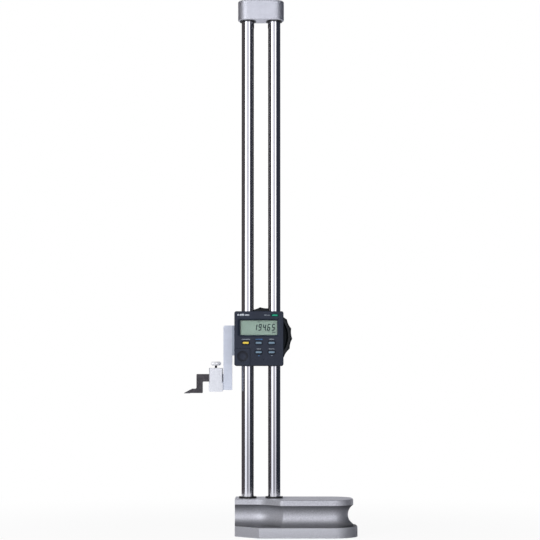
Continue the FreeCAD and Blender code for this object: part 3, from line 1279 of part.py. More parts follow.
def scriber_clamp():
    """Box clamp round the bracket's foot and the scriber's shank."""
    half = CLAMP_BOX_DEPTH / 2
    x = (CLAMP_BOX_LEFT, CLAMP_BOX_RIGHT)
    upper = block(x, (-half, half), (CLAMP_BOX_LOW + CLAMP_BOX_CORNER, CLAMP_BOX_HIGH))
    upright = [
        edge
        for edge in edges_along(upper, Z_AXIS)
        if abs(abs(edge.CenterOfMass.y) - half) < 1e-6
    ]
    upper = upper.makeChamfer(CLAMP_BOX_EDGE, upright)
    upper = upper.makeChamfer(CLAMP_BOX_EDGE / 2, edges_at(upper, "z", CLAMP_BOX_HIGH))
    step = CLAMP_BOX_STEP
    lower = front_prism([
        (x[0] - step, CLAMP_BOX_LOW, CLAMP_BOX_CORNER),
        (x[1] + step, CLAMP_BOX_LOW, CLAMP_BOX_CORNER),
        (x[1] + step, CLAMP_BOX_LOW + CLAMP_BOX_STEP_HEIGHT, CLAMP_BOX_STEP_RADIUS),
        (x[0] - step, CLAMP_BOX_LOW + CLAMP_BOX_STEP_HEIGHT, CLAMP_BOX_STEP_RADIUS),
    ], (-half, half))
    half_window = SHANK_DEPTH / 2 + SLIDING
    window = block((x[0] - step, x[1] + step), (-half_window, half_window),
                   (FOOT_LOW - SLIDING, CLAMP_BOX_WINDOW_HIGH))
    hole = post(THUMB_SCREW_RADIUS + RUNNING, (CLAMP_BOX_WINDOW_HIGH, CLAMP_BOX_HIGH), CLAMP_BOX_X)
    return upper.fuse(lower).removeSplitter().cut([window, hole])


def thumbscrew():
    """Knurled clamp screw that presses on the scriber's shank."""
    low = CLAMP_BOX_HIGH + THUMB_NECK
    high = low + THUMB_HEIGHT
    rim = []
    for index in range(2 * THUMB_GROOVES):
        radius = THUMB_RADIUS - THUMB_GROOVE_DEPTH * (index % 2)
        angle = math.pi * index / THUMB_GROOVES
        rim.append(Vector(radius * math.cos(angle), radius * math.sin(angle), low))
    knurl = Part.Face(Part.makePolygon(rim + rim[:1])).extrude(Vector(0, 0, THUMB_HEIGHT))
    profile = [
        (0, low),
        (THUMB_RADIUS - THUMB_EDGE, low),
        (THUMB_RADIUS, low + THUMB_EDGE),
        (THUMB_RADIUS, high - THUMB_EDGE),
        (THUMB_RADIUS - THUMB_EDGE, high),
        (THUMB_RADIUS * 0.5, high),
        (THUMB_RADIUS * 0.5 - THUMB_DISH, high - THUMB_DISH),
        (0, high - THUMB_DISH),
    ]
    points = [Vector(radius, 0, z) for radius, z in profile]
    head = Part.Face(Part.makePolygon(points + points[:1])).revolve(ORIGIN, Z_AXIS, 360)
    stem = post(THUMB_SCREW_RADIUS, (SHANK_HIGH + RUNNING, low), 0.0)
    solid = head.common(knurl).fuse(stem).removeSplitter()
    solid.translate(Vector(CLAMP_BOX_X, 0, 0))
    return solid


def scriber_blank():
    """Whole scriber outline, toe to tail, before the tip is parted off."""
    floor = SCRIBER_FLOOR
    toe_top = floor + SCRIBER_TOE_TOP
    leg_right = SCRIBER_LEG_LEFT + SCRIBER_LEG_WIDTH
    half = SHANK_DEPTH / 2
    blank = front_prism([
        (SCRIBER_TOE, floor, 0),
        (TIP_END, floor, 0),
        (TIP_END + SCRIBER_HEEL_RUN, floor + SCRIBER_HEEL_RISE, 0),
        (leg_right, floor + SCRIBER_HEEL_RISE, SCRIBER_HEEL_RADIUS),
        (leg_right, SHANK_LOW, SCRIBER_KNEE_RADIUS),
        (SCRIBER_TAIL, SHANK_LOW, 0),
        (SCRIBER_TAIL, SHANK_HIGH, 0),
        (SCRIBER_LEG_LEFT, SHANK_HIGH, SCRIBER_TOP_RADIUS),
        (SCRIBER_LEG_LEFT, toe_top, SCRIBER_ANKLE_RADIUS),
        (SCRIBER_LAND, toe_top, 0),
        (SCRIBER_TOE, floor + SCRIBER_TOE_THICKNESS, 0),
    ], (-half, half))
    side = Part.makePolygon([
        Vector(SCRIBER_TOE, SCRIBER_TOE_WIDTH - half, floor),
        Vector(SCRIBER_INSTEP, half, floor),
        Vector(SCRIBER_TOE, half, floor),
        Vector(SCRIBER_TOE, SCRIBER_TOE_WIDTH - half, floor),
    ])
    return blank.cut(Part.Face(side).extrude(Vector(0, 0, SCRIBER_TOE_TOP)))


def tip_cutter():
    """Box that holds the hard tip at the toe's underside."""
    half = SHANK_DEPTH / 2
    return block((SCRIBER_TOE, TIP_END), (-half, half), (SCRIBER_FLOOR, SCRIBER_FLOOR + TIP_BACK))


def scriber():
    """Scriber: shank, leg and toe."""
    return scriber_blank().cut(tip_cutter())


def scriber_tip():
    """Hard tip brazed under the toe."""
    return scriber_blank().common(tip_cutter())


def all_parts():
    """Every sub-part by name."""
    parts = {
        "base": base(),
        "left_column": left_column(),
        "right_column": right_column(),
        "left_rack": left_rack(),
        "right_rack": right_rack(),
        "base_collars": base_collars(),
        "cap_rings": cap_rings(),
        "column_bolts": column_bolts(),
        "top_cap": top_cap(),
        "cap_screws": cap_screws(),
        "slider_body": slider_body(),
        "feed_bush_front": feed_bush_front(),
        "feed_bush_rear": feed_bush_rear(),
        "encoder_bush": encoder_bush(),
        "gear_cover": gear_cover(),
        "cover_screws": cover_screws(),
        "feed_shaft": feed_shaft(),
        "thrust_washer": thrust_washer(),
        "handwheel": handwheel(),
        "wheel_screw": wheel_screw(),
        "encoder_shaft": encoder_shaft(),
        "encoder_disc": encoder_disc(),
        "clamp_pad": clamp_pad(),
        "clamp_screw": clamp_screw(),
        "clamp_lever": clamp_lever(),
        "front_housing": front_housing(),
        "battery_cover": battery_cover(),
        "battery_cell": battery_cell(),
        "battery_contact": battery_contact(),
        "lcd_window": lcd_window(),
        "lcd_panel": lcd_panel(),
        "lcd_carrier": lcd_carrier(),
        "circuit_board": circuit_board(),
        "key_switches": key_switches(),
        "indicator_lens": indicator_lens(),
        "screw_plug": screw_plug(),
        "case_screw": case_screw(),
        "back_plate": back_plate(),
        "plate_screws": plate_screws(),
        "encoder_reader": encoder_reader(),
        "output_connector": output_connector(),
        "bracket": bracket(),
        "bracket_block": bracket_block(),
        "bracket_screws": bracket_screws(),
        "scriber_clamp": scriber_clamp(),
        "thumbscrew": thumbscrew(),
        "scriber": scriber(),
        "scriber_tip": scriber_tip(),
    }
    for name, x in (("left", -COLUMN_X), ("right", COLUMN_X)):
        parts[f"bush_{name}_lower"] = column_bush(x, BODY_LOW)
        parts[f"bush_{name}_upper"] = column_bush(x, BODY_HIGH - BUSH_LENGTH)
    for name, place in BUTTONS.items():
        parts[name] = button(place)
    return parts


os.makedirs("parts", exist_ok=True)
for part_name, part_shape in all_parts().items():
    part_shape.exportStep(f"parts/{part_name}.step")
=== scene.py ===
"""Looks of a two-column digital height gauge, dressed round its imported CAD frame.

Every length is in metres, in the frame of the CAD model: the origin is under the base, midway
between the columns, +X runs to the long end of the base and the display faces -Y.
"""

from __future__ import annotations

import json
import logging
import math
from collections.abc import Callable
from dataclasses import dataclass
from enum import Enum
from typing import ClassVar

import bmesh
import bpy
from mathutils import Matrix, Vector

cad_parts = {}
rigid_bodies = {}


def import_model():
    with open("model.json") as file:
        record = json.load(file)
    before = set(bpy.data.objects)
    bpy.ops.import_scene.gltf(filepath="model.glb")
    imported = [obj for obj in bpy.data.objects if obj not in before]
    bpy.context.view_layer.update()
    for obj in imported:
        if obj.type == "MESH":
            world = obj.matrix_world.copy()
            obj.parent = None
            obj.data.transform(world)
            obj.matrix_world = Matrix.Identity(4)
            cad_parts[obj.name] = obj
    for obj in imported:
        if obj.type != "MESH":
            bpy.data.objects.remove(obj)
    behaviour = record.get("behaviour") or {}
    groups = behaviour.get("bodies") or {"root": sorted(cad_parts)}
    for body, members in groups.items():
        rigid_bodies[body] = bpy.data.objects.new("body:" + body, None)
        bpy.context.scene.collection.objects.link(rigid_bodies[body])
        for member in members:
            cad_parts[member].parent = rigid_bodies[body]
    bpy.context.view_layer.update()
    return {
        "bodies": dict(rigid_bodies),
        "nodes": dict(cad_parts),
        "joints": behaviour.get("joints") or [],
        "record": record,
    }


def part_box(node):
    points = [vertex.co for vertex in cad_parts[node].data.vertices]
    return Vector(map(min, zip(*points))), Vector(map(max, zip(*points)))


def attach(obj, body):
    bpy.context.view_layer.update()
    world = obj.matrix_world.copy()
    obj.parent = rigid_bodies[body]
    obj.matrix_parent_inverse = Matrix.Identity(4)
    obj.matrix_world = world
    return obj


Piece = bpy.types.Object
Triple = tuple[float, float, float]
Sides = tuple[float, float, float, float]

LOG = logging.getLogger("height_gauge")
MM = 0.001
PHOTO_SIDE = 540
SENSOR_WIDTH = 36.0
QUARTER_TURN = math.radians(90)
ORIGIN: Triple = (0.0, 0.0, 0.0)
EVEN: Triple = (1.0, 1.0, 1.0)
WHITE: Triple = (1.0, 1.0, 1.0)


def srgb(*values: int) -> Triple:
    """Turn a colour as it is seen on a screen, from 0 to 255, into linear light."""
    shares = [value / 255 for value in values]
    return tuple(s / 12.92 if s <= 0.04045 else ((s + 0.055) / 1.055) ** 2.4 for s in shares)


# Shader maths


def arithmetic(operation: str, swapped: bool = False) -> Callable[..., Value]:
    """Make a method of Value that adds one Math node.

    Args:
        operation: What the node works out.
        swapped: Whether the other number comes before the method's own.

    Returns:
        The method.
    """

    def method(self: Value, other: Value | float = 0.0) -> Value:
        """Return the outcome for self and, where the operation takes two, another number."""
        pair = (other, self) if swapped else (self, other)
        return self.graph.node("Math", dict(enumerate(pair)), operation=operation)

    return method


class Value:
    """A number or colour that varies over a surface, with ordinary arithmetic on it."""

    __add__ = __radd__ = arithmetic("ADD")
    __sub__ = arithmetic("SUBTRACT")
    __rsub__ = arithmetic("SUBTRACT", swapped=True)
    __mul__ = __rmul__ = arithmetic("MULTIPLY")
    __pow__ = arithmetic("POWER")
    __abs__ = arithmetic("ABSOLUTE")
    least = arithmetic("MINIMUM")
    above = arithmetic("GREATER_THAN")

    def __init__(self, graph: Graph, socket: bpy.types.NodeSocket) -> None:
        """Wrap one output socket of a node in a graph."""
        self.graph = graph
        self.socket = socket

    def ramp(self, low: float, high: float) -> Value:
        """Return a smooth rise from 0 at low to 1 at high."""
        inputs = {"Value": self, "From Min": low, "From Max": high}
        return self.graph.node("MapRange", inputs, interpolation_type="SMOOTHSTEP")


class Graph:
    """The node graph of a material or of the world, built by short calls."""

    def __init__(self, owner: bpy.types.Material | bpy.types.World) -> None:
        """Start with nothing but the output.

        Args:
            owner: The new material or world.
        """
        owner.use_nodes = True
        self.owner = owner
        self.tree = owner.node_tree
        self.tree.nodes.clear()
        self.output = self.tree.nodes.new(f"ShaderNodeOutput{owner.bl_rna.identifier}")

    def node(
        self,
        kind: str,
        inputs: dict[str | int, object] | None = None,
        output: str | int = 0,
        **settings: object,
    ) -> Value:
        """Add a node of any type.

        Args:
            kind: The node's type, without the word ShaderNode.
            inputs: What its input sockets take: a number, a colour or a Value.
            output: The output socket that is wanted.
            settings: Its own settings, which are made first.

        Returns:
            The wanted output as a Value.
        """
        made = self.tree.nodes.new(f"ShaderNode{kind}")
        for name, value in settings.items():
            setattr(made, name, value)
        for name, value in (inputs or {}).items():
            socket = made.inputs[name]
            if isinstance(value, Value):
                self.tree.links.new(value.socket, socket)
            elif isinstance(value, tuple) and len(socket.default_value) > len(value):
                socket.default_value = (*value, 1.0)
            else:
                socket.default_value = value
        return Value(self, made.outputs[output])

    def show(self, shader: Value) -> bpy.types.Material | bpy.types.World:
        """Send a shader to the output and return what the graph belongs to."""
        self.tree.links.new(shader.socket, self.output.inputs["Surface"])
        return self.owner

    def place(self, stretch: Triple = EVEN, centre: Triple = ORIGIN) -> Value:
        """Return the object's own coordinates, moved and stretched.

        Args:
            stretch: A factor for each axis.
            centre: The point that becomes the pattern's origin, in metres.

        Returns:
            The coordinates as a vector.
        """
        where = self.node("TexCoord", output="Object")
        moved = self.node("VectorMath", {0: where, 1: centre}, operation="SUBTRACT")
        return self.node("VectorMath", {0: moved, 1: stretch}, operation="MULTIPLY")

    def noise(self, size: float, detail: float = 2.0, stretch: Triple = EVEN) -> Value:
        """Return soft noise from 0 to 1 in spots of a size, drawn out along an axis of small stretch."""
        inputs = {"Vector": self.place(stretch), "Scale": 1.0 / size, "Detail": detail, "Roughness": 0.55}
        return self.node("TexNoise", inputs)

    def cells(self, size: float, stretch: Triple = EVEN) -> Value:
        """Return the distance to the nearest of many scattered points, in cells."""
        return self.node("TexVoronoi", {"Vector": self.place(stretch), "Scale": 1.0 / size})

    def axis(self, letter: str, centre: Triple = ORIGIN) -> Value:
        """Return one coordinate of the surface, in metres from a centre."""
        return self.node("SeparateXYZ", {0: self.place(centre=centre)}, letter)

    def reach(self, letters: str, centre: Triple = ORIGIN) -> Value:
        """Return the distance from a centre, measured along two axes only."""
        first, second = (self.axis(letter, centre) for letter in letters)
        return (first * first + second * second) ** 0.5

    def edge(self, radius: float) -> Value:
        """Return 1 on sharp outer and inner edges, fading to 0 away from them.

        Args:
            radius: How far from an edge it fades, in metres.

        Returns:
            The share of edge.
        """
        rounded = self.node("Bevel", {"Radius": radius}, samples=4)
        true = self.node("NewGeometry", output="Normal")
        match = self.node("VectorMath", {0: rounded, 1: true}, "Value", operation="DOT_PRODUCT")
        return (1.0 - match).ramp(0.01, 0.22)

    def blend(self, share: Value, first: Triple | Value, second: Triple | Value) -> Value:
        """Return a colour between two others."""
        return self.node("Mix", {0: share, 6: first, 7: second}, 2, data_type="RGBA")

    def bump(self, height: Value, depth: float) -> Value:
        """Return a surface normal roughened by a height, whose 1 stands for a depth in metres."""
        return self.node("Bump", {"Height": height, "Distance": depth})

    def seen(self) -> Value:
        """Return 0 for a ray that only gathers light, and 1 or more for one that looks."""
        ways = ("Camera", "Glossy", "Transmission")
        return sum((self.node("LightPath", output=f"Is {way} Ray") for way in ways), 0.0)


# Finishes


@dataclass(frozen=True)
class Finish:
    """What every finish has: a name, a colour and how it shines."""

    name: str
    colour: Triple
    roughness: float
    metallic: float = 0.0

    def make(self) -> bpy.types.Material:
        """Build the material."""
        graph = Graph(bpy.data.materials.new(self.name))
        return graph.show(graph.node("BsdfPrincipled", {**self.constants(), **self.paint(graph)}))

    def constants(self) -> dict[str, object]:
        """Return what is the same all over the surface."""
        return {"Metallic": self.metallic}

    def paint(self, graph: Graph) -> dict[str, Value]:
        """Return what changes over the surface, socket by socket."""
        raise NotImplementedError

    def tinted(self, factor: float) -> Triple:
        """Return the colour, lighter or darker by a factor."""
        return tuple(min(1.0, part * factor) for part in self.colour)

    def shades(self, graph: Graph, share: Value, first: float, second: float) -> Value:
        """Return a colour between two shades of the finish's own, given as factors."""
        return graph.blend(share, self.tinted(first), self.tinted(second))


@dataclass(frozen=True)
class TexturedEnamel(Finish):
    """Metallic grey paint over a casting, with a fine pebbled grain, painted shade in the corners of its
    cove and a plinth painted lighter.
    """

    grain: float = 0.9 * MM
    depth: float = 0.045 * MM
    cloud: float = 18 * MM
    cove_middle: float = 31.0 * MM
    cove_low: float = 14.7 * MM
    cove_high: float = 45.1 * MM
    brow_start: float = 4 * MM
    # How dark the painted shade is at the cove's foot and at its brow
    foot_grime: float = 0.92
    brow_grime: float = 0.72
    # How much lighter the plinth is painted, as painted light
    plinth_tone: float = 1.3335

    def paint(self, graph: Graph) -> dict[str, Value]:
        """Return pebbled bump, mottled colour, painted shade in the cove's corners, a plinth painted
        lighter and bare, brighter edges.

        Args:
            graph: The material's graph.

        Returns:
            What each socket takes.
        """
        height = graph.axis("Z")
        # Painted shade: the cove darkens towards its foot and its brow, where shade falls under the deck's
        # overhang and above the plinth
        foot = (self.cove_middle - height).ramp(0.0, self.cove_middle - self.cove_low) * self.foot_grime
        brow = (height - self.cove_middle).ramp(self.brow_start, self.cove_high - self.cove_middle)
        plinth = 1.0 - height.above(self.cove_low)
        cove_shade = (foot + brow * self.brow_grime) * (1.0 - plinth) * (1.0 - height.above(self.cove_high))
        pebble = graph.cells(self.grain)
        fine = graph.noise(self.grain * 0.45, 3.0)
        speck = graph.noise(self.grain * 2.2).ramp(0.3, 0.7)
        cloud = graph.noise(self.cloud, 3.0).ramp(0.35, 0.7)
        worn = graph.edge(0.7 * MM) * graph.noise(4 * MM).ramp(0.35, 0.6) * (1.0 - cove_shade)
        mottled = self.shades(graph, fine * 0.3 + pebble * 0.2 + speck * 0.5, 0.8, 1.18)
        clouded = graph.blend(cloud * 0.4, mottled, self.colour)
        # Painted light: the plinth below the cove is painted lighter, standing in for the light that it
        # catches
        with_plinth_light = graph.blend(plinth * 0.6, clouded, self.tinted(self.plinth_tone))
        bare = graph.blend(worn * 0.15, with_plinth_light, self.tinted(1.3))
        return {
            "Base Color": graph.blend(cove_shade, bare, self.tinted(0.2)),
            "Roughness": self.roughness + fine * 0.12 - worn * 0.1 + cove_shade * 0.15,
            "Normal": graph.bump(pebble * 0.6 + fine * 0.5, self.depth),
        }


@dataclass(frozen=True)
class GroundChrome(Finish):
    """Hard chrome on a centreless-ground column: a mirror with faint rings, and grease beside the rack."""

    metallic: float = 1.0
    column_offset: float = 18.8 * MM
    ring_depth: float = 0.0002 * MM
    grease_start: float = 5.4 * MM
    grease_end: float = 6.6 * MM
    grease_share: float = 0.8

    def paint(self, graph: Graph) -> dict[str, Value]:
        """Return grinding rings across the column, a very light film along it and the rack's grease.

        Args:
            graph: The material's graph.

        Returns:
            What each socket takes.
        """
        rings = graph.noise(0.35 * MM, 2.0, (0.05, 0.05, 1.0))
        film = graph.noise(30 * MM, 4.0, (1.0, 1.0, 0.35))
        streak = graph.noise(1.2 * MM, 2.0, (1.0, 1.0, 0.03)).ramp(0.5, 0.8)
        inward = self.column_offset - abs(graph.axis("X"))
        grease = inward.ramp(self.grease_start, self.grease_end)
        clean = self.shades(graph, film.ramp(0.4, 0.75), 1.0, 0.93)
        return {
            "Base Color": graph.blend(grease * self.grease_share, clean, self.tinted(0.12)),
            "Roughness": self.roughness + film.ramp(0.45, 0.8) * 0.04 + streak * 0.03 + grease * 0.1,
            "Normal": graph.bump(rings, self.ring_depth),
        }


class Grain(Enum):
    """The way that the fine lines of a machined face run."""

    ACROSS = (0.04, 1.0, 1.0)
    UPRIGHT = (1.0, 1.0, 0.04)
    NONE = EVEN


@dataclass(frozen=True)
class MachinedMetal(Finish):
    """A milled, brushed or blasted metal face with brighter edges."""

    metallic: float = 1.0
    grain: Grain = Grain.UPRIGHT
    line: float = 0.5 * MM
    depth: float = 0.004 * MM
    wear: float = 0.35

    def paint(self, graph: Graph) -> dict[str, Value]:
        """Return fine tool lines, a cloudy tone and handled edges.

        Args:
            graph: The material's graph.

        Returns:
            What each socket takes.
        """
        lines = graph.noise(self.line, 3.0, self.grain.value)
        cloud = graph.noise(9 * MM, 3.0)
        rubbed = graph.edge(0.4 * MM) * graph.noise(3 * MM).ramp(0.3, 0.6)
        lined = self.shades(graph, lines, 0.9, 1.06)
        clouded = graph.blend(cloud.ramp(0.3, 0.75) * 0.5, lined, self.tinted(0.88))
        return {
            "Base Color": graph.blend(rubbed * self.wear, clouded, self.tinted(1.35)),
            "Roughness": self.roughness + lines * 0.1 + cloud.ramp(0.4, 0.8) * 0.06,
            "Normal": graph.bump(lines, self.depth),
        }


@dataclass(frozen=True)
class SinteredBronze(Finish):
    """Oil-filled bronze of bushes, with open pores."""

    metallic: float = 0.9

    def paint(self, graph: Graph) -> dict[str, Value]:
        """Return dark pores and a patchy, oiled tone.

        Args:
            graph: The material's graph.

        Returns:
            What each socket takes.
        """
        pores = 1.0 - graph.cells(0.35 * MM).ramp(0.05, 0.3)
        oil = graph.noise(5 * MM, 3.0).ramp(0.35, 0.7)
        return {
            "Base Color": graph.blend(pores * 0.7, self.shades(graph, oil, 1.0, 0.7), self.tinted(0.35)),
            "Roughness": self.roughness + pores * 0.2 - oil * 0.1,
            "Normal": graph.bump(1.0 - pores, 0.01 * MM),
        }


@dataclass(frozen=True)
class Plastic(Finish):
    """What every plastic has: a clear coat and a strength of shine."""

    coat: float = 0.0
    coat_roughness: float = 0.12
    specular: float = 0.5

    def constants(self) -> dict[str, object]:
        """Return what is the same all over the surface."""
        coat = {"Coat Weight": self.coat, "Coat Roughness": self.coat_roughness}
        return {"Metallic": self.metallic, "Specular IOR Level": self.specular, **coat}


@dataclass(frozen=True)
class MouldedPlastic(Plastic):
    """Moulded plastic with a spark-eroded grain that is rubbed smooth at its edges."""

    grain: float = 0.28 * MM
    depth: float = 0.012 * MM
    edge_shine: float = 0.12

    def paint(self, graph: Graph) -> dict[str, Value]:
        """Return grain, faint flow marks and polished, slightly paler edges.

        Args:
            graph: The material's graph.

        Returns:
            What each socket takes.
        """
        grain = graph.noise(self.grain)
        flow = graph.noise(12 * MM, 3.0, (1.0, 1.0, 0.5))
        rubbed = graph.edge(0.5 * MM)
        toned = self.shades(graph, flow.ramp(0.3, 0.75), 0.9, 1.12)
        return {
            "Base Color": graph.blend(rubbed * 0.35, toned, self.tinted(1.7)),
            "Roughness": self.roughness + grain * 0.12 + flow * 0.06 - rubbed * self.edge_shine,
            "Normal": graph.bump(grain, self.depth),
        }


@dataclass(frozen=True)
class DishedPlastic(MouldedPlastic):
    """Moulded plastic with a round dish, with painted shade on the dish's slope."""

    centre: Triple = (-25.4 * MM, 0.0, 253.7 * MM)
    radius: float = 7.7 * MM
    # How dark the painted shade on the dish's slope is
    dirt: float = 0.85

    def paint(self, graph: Graph) -> dict[str, Value]:
        """Return the moulded paint, with painted shade on the slope of the dish.

        Args:
            graph: The material's graph.

        Returns:
            What each socket takes.
        """
        made = super().paint(graph)
        reach = graph.reach("XZ", self.centre)
        flat = 1.0 - reach.ramp(self.radius * 0.96, self.radius * 1.04)
        slope = reach.ramp(self.radius * 0.3, self.radius * 0.85) * flat
        # Painted shade: the dish's slope is darkened to stand in for the shading of the hollow
        made["Base Color"] = graph.blend(slope * self.dirt, made["Base Color"], self.tinted(0.3))
        return made


@dataclass(frozen=True)
class SoftRubber(Finish):
    """Black rubber with a dusty bloom."""

    def paint(self, graph: Graph) -> dict[str, Value]:
        """Return dust in patches over a fine skin.

        Args:
            graph: The material's graph.

        Returns:
            What each socket takes.
        """
        dust = graph.noise(2.5 * MM, 4.0).ramp(0.5, 0.8)
        return {
            "Base Color": self.shades(graph, dust * 0.3, 1.0, 4.0),
            "Roughness": self.roughness + dust * 0.2,
            "Normal": graph.bump(graph.noise(0.3 * MM), 0.008 * MM),
        }


@dataclass(frozen=True)
class OxideSteel(Finish):
    """Steel with a black or brown oxide, rubbed bright at its corners."""

    metallic: float = 0.75
    wear: float = 0.5
    bright: Triple = (0.42, 0.40, 0.38)

    def paint(self, graph: Graph) -> dict[str, Value]:
        """Return an uneven oxide and bare corners.

        Args:
            graph: The material's graph.

        Returns:
            What each socket takes.
        """
        patch = graph.noise(3.5 * MM, 4.0).ramp(0.3, 0.75)
        lines = graph.noise(0.25 * MM, 2.0, (0.2, 1.0, 1.0))
        rubbed = graph.edge(0.3 * MM) * graph.noise(1.5 * MM).ramp(0.35, 0.65)
        toned = self.shades(graph, patch, 0.8, 1.25)
        return {
            "Base Color": graph.blend(rubbed * self.wear, toned, self.bright),
            "Roughness": self.roughness + patch * 0.1 + lines * 0.06,
            "Normal": graph.bump(lines, 0.003 * MM),
        }


@dataclass(frozen=True)
class DisplayGlass(Finish):
    """The grey-green face of a reflective liquid crystal display."""

    centre: Triple = (-3.0 * MM, 0.0, 293.75 * MM)
    half_width: float = 26.0 * MM
    half_height: float = 10.5 * MM
    line: float = 0.12 * MM
    margin: float = 1.6 * MM

    def paint(self, graph: Graph) -> dict[str, Value]:
        """Return a faint pixel-fine grain, a paler middle with painted shade towards the sides and the thin
        edge line of the active area.

        Args:
            graph: The material's graph.

        Returns:
            What each socket takes.
        """
        across, up = (abs(graph.axis(letter, self.centre)) for letter in "XZ")
        rim = across.ramp(self.half_width * 0.6, self.half_width * 1.05)
        frame = across.above(self.half_width - self.margin)
        border = abs(up - (self.half_height - self.margin))
        line = 1.0 - border.ramp(self.line * 0.5, self.line * 1.6)
        speck = graph.noise(0.4 * MM)
        toned = self.shades(graph, speck, 0.97, 1.03)
        # Painted shade: the face darkens from its middle towards its left and right ends
        shaded = graph.blend(rim * 0.35 + frame * 0.06, toned, self.tinted(0.86))
        return {
            "Base Color": graph.blend(line * 0.16, shaded, self.tinted(0.55)),
            "Roughness": self.roughness + speck * 0.05,
        }


@dataclass(frozen=True)
class ClearWindow(Finish):
    """A clear acrylic window, with a few hairline scratches."""

    alpha: float = 0.05

    def constants(self) -> dict[str, object]:
        """Return what is the same all over the surface."""
        return {"Metallic": self.metallic, "IOR": 1.49, "Alpha": self.alpha}

    def paint(self, graph: Graph) -> dict[str, Value]:
        """Return a polish that hairlines and smears break.

        Args:
            graph: The material's graph.

        Returns:
            What each socket takes.
        """
        hairline = graph.noise(0.15 * MM, 1.0, (0.06, 1.0, 0.5)).ramp(0.68, 0.74)
        smear = graph.noise(8 * MM, 3.0).ramp(0.45, 0.8)
        return {
            "Base Color": self.shades(graph, smear, 1.0, 1.2),
            "Roughness": self.roughness + hairline * 0.2 + smear * 0.05,
        }


@dataclass(frozen=True)
class TintedLens(Plastic):
    """A coloured, glossy plastic lens or key cap with depth in its colour."""

    coat: float = 0.6
    coat_roughness: float = 0.15

    def paint(self, graph: Graph) -> dict[str, Value]:
        """Return a colour that pales towards worn edges, over a fine grain.

        Args:
            graph: The material's graph.

        Returns:
            What each socket takes.
        """
        grain = graph.noise(0.15 * MM)
        toned = self.shades(graph, graph.noise(1.6 * MM, 3.0), 0.9, 1.1)
        return {
            "Base Color": graph.blend(graph.edge(0.35 * MM) * 0.3, toned, self.tinted(1.4)),
            "Roughness": self.roughness + grain * 0.1,
            "Normal": graph.bump(grain, 0.003 * MM),
        }


@dataclass(frozen=True)
class KeyCap(TintedLens):
    """A key cap with painted shade where it turns down to its skirt, at two rows of keys."""

    rows: tuple[float, float] = (272.4 * MM, 259.3 * MM)
    flat: float = 0.7 * MM
    turn: float = 1.3 * MM

    def paint(self, graph: Graph) -> dict[str, Value]:
        """Return the lens paint, with painted shade towards the upper and the lower rim.

        Args:
            graph: The material's graph.

        Returns:
            What each socket takes.
        """
        made = super().paint(graph)
        upper, lower = (abs(graph.axis("Z", (0.0, 0.0, row))) for row in self.rows)
        rim = upper.least(lower).ramp(self.flat, self.turn)
        # Painted shade: the cap darkens towards its rims, standing in for the shading of its rounded edge
        made["Base Color"] = graph.blend(rim * 0.75, made["Base Color"], self.tinted(0.25))
        return made


@dataclass(frozen=True)
class Ink(Finish):
    """Printed ink or a display segment, slightly uneven in tone."""

    def paint(self, graph: Graph) -> dict[str, Value]:
        """Return a thin and thick print."""
        thin = graph.noise(0.5 * MM, 3.0).ramp(0.3, 0.8)
        return {"Base Color": self.shades(graph, thin, 1.0, 0.88), "Roughness": self.roughness + thin * 0.1}


@dataclass(frozen=True)
class CircuitBoard(Finish):
    """Green solder mask with copper lanes under it."""

    def paint(self, graph: Graph) -> dict[str, Value]:
        """Return lanes that show through the mask.

        Args:
            graph: The material's graph.

        Returns:
            What each socket takes.
        """
        lanes = graph.cells(2.2 * MM, (1.0, 1.0, 0.4)).ramp(0.35, 0.45)
        toned = self.shades(graph, graph.noise(6 * MM), 0.85, 1.15)
        return {
            "Base Color": graph.blend(lanes * 0.5, toned, self.tinted(1.9)),
            "Roughness": self.roughness + lanes * 0.1,
            "Normal": graph.bump(lanes, 0.03 * MM),
        }


